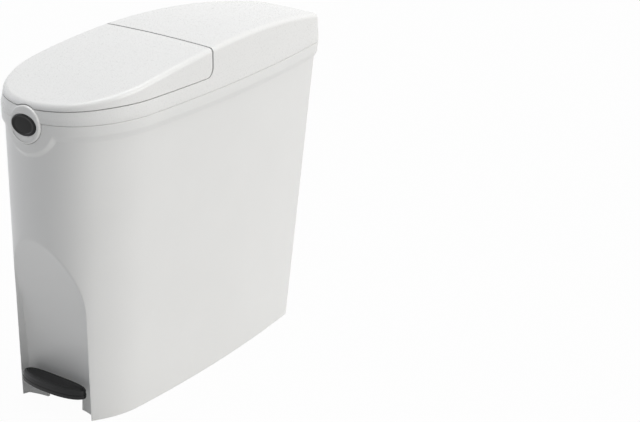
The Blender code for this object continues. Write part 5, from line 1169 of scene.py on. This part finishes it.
def stage_floor():
    """A pale matt floor that the camera sees as nearly white; it keeps the object's shadow."""
    bm = bmesh.new()
    bmesh.ops.create_grid(bm, x_segments=1, y_segments=1, size=FLOOR_SIZE)
    floor = object_of("studio_floor", bm)
    floor.location.z = -FLOOR_DROP
    made = bpy.data.materials.new("Matt studio paper")
    made.use_nodes = True
    tree = made.node_tree
    tree.nodes.clear()
    share = add_node(tree, "ShaderNodeMath", {0: seen_rays(tree), 1: FLOOR_GLOW}, operation="MULTIPLY")
    paper = add_node(tree, "ShaderNodeBsdfDiffuse", {"Color": (*linear("C8C8C8"), 1)})
    glow = add_node(tree, "ShaderNodeEmission", {"Color": (1, 1, 1, 1), "Strength": 1.0})
    mix = add_node(tree, "ShaderNodeMixShader", {0: share.outputs["Value"], 1: paper.outputs["BSDF"],
                                                 2: glow.outputs["Emission"]})
    add_node(tree, "ShaderNodeOutputMaterial", {"Surface": mix.outputs["Shader"]})
    floor.data.materials.append(made)


def stage_world():
    """A white surround to the camera and in reflections, and a softer one as light."""
    world = bpy.data.worlds.new("Studio surround")
    bpy.context.scene.world = world
    world.use_nodes = True
    tree = world.node_tree
    tree.nodes.clear()
    light = add_node(tree, "ShaderNodeBackground", {"Color": (*linear("F4F6FA"), 1), "Strength": 0.34})
    white = add_node(tree, "ShaderNodeBackground", {"Color": (1, 1, 1, 1), "Strength": 1.0})
    mix = add_node(tree, "ShaderNodeMixShader", {0: seen_rays(tree), 1: light.outputs["Background"],
                                                 2: white.outputs["Background"]})
    add_node(tree, "ShaderNodeOutputWorld", {"Surface": mix.outputs["Shader"]})


def stage_camera():
    """The camera at the photograph's viewing angle."""
    lens = bpy.data.cameras.new("photo_camera")
    lens.sensor_width = 36
    lens.lens = CAMERA["focal_px"] / CAMERA["frame_px"] * lens.sensor_width
    lens.shift_x = 0.5 - CAMERA["centre_px"] / CAMERA["frame_px"]
    lens.clip_start, lens.clip_end = 0.05, 60
    camera = object_from("photo_camera", lens)
    a, e, r = (math.radians(CAMERA[k]) for k in ("azimuth", "elevation", "roll"))
    back = Vector((math.sin(a) * math.cos(e), -math.cos(a) * math.cos(e), math.sin(e)))
    level = Vector((math.cos(a), math.sin(a), 0))
    up = back.cross(level)
    right = math.cos(r) * level + math.sin(r) * up
    up = -math.sin(r) * level + math.cos(r) * up
    turn = Matrix((right, up, back)).transposed().to_4x4()
    camera.matrix_world = Matrix.Translation(CAMERA["eye"]) @ turn
    bpy.context.scene.camera = camera


class OBJECT_OT_container_stage(BuildStep, bpy.types.Operator):
    """Builds the pale floor, the soft lamps, the surround and the camera"""
    bl_idname = "object.container_stage"
    bl_label = "Stage"

    def build(self, sizes, colours):
        stage_floor()
        stage_world()
        stage_camera()
        add_sun("overhead_softbox", (0.05, 0.25, 1.0), 1.68, 50, "FFFFFF")
        add_sun("right_softbox", (1.0, 0.45, 0.30), 1.42, 40, "FFFDFA")
        add_sun("left_fill", (-1.0, -0.30, 0.25), 0.55, 50, "F6F8FF")
        bpy.context.scene.view_settings.view_transform = "Standard"


OPERATORS = (OBJECT_OT_container_body, OBJECT_OT_container_frame, OBJECT_OT_container_lid,
             OBJECT_OT_container_button, OBJECT_OT_container_pedal, OBJECT_OT_container_springs,
             OBJECT_OT_container_screws, OBJECT_OT_container_inner, OBJECT_OT_container_metal,
             OBJECT_OT_container_stage)


class VIEW3D_PT_container(bpy.types.Panel):
    """Lists the container's settings and the steps that build it"""
    bl_label = "Sanitary container"
    bl_idname = "VIEW3D_PT_container"
    bl_space_type = "VIEW_3D"
    bl_region_type = "UI"
    bl_category = "Container"

    def draw(self, context):
        for group in (context.scene.container_sizes, context.scene.container_colours):
            for name in group.__annotations__:
                self.layout.prop(group, name)
        for operator in OPERATORS:
            self.layout.operator(operator.bl_idname)


CLASSES = (ContainerSizes, ContainerColours, *OPERATORS, VIEW3D_PT_container)


def register():
    for kind in CLASSES:
        bpy.utils.register_class(kind)
    bpy.types.Scene.container_sizes = PointerProperty(type=ContainerSizes)
    bpy.types.Scene.container_colours = PointerProperty(type=ContainerColours)


def unregister():
    del bpy.types.Scene.container_colours
    del bpy.types.Scene.container_sizes
    for kind in reversed(CLASSES):
        bpy.utils.unregister_class(kind)


def main():
    register()
    for operator in OPERATORS:
        group, name = operator.bl_idname.split(".")
        getattr(getattr(bpy.ops, group), name)()


if __name__ == "__main__":
    main()
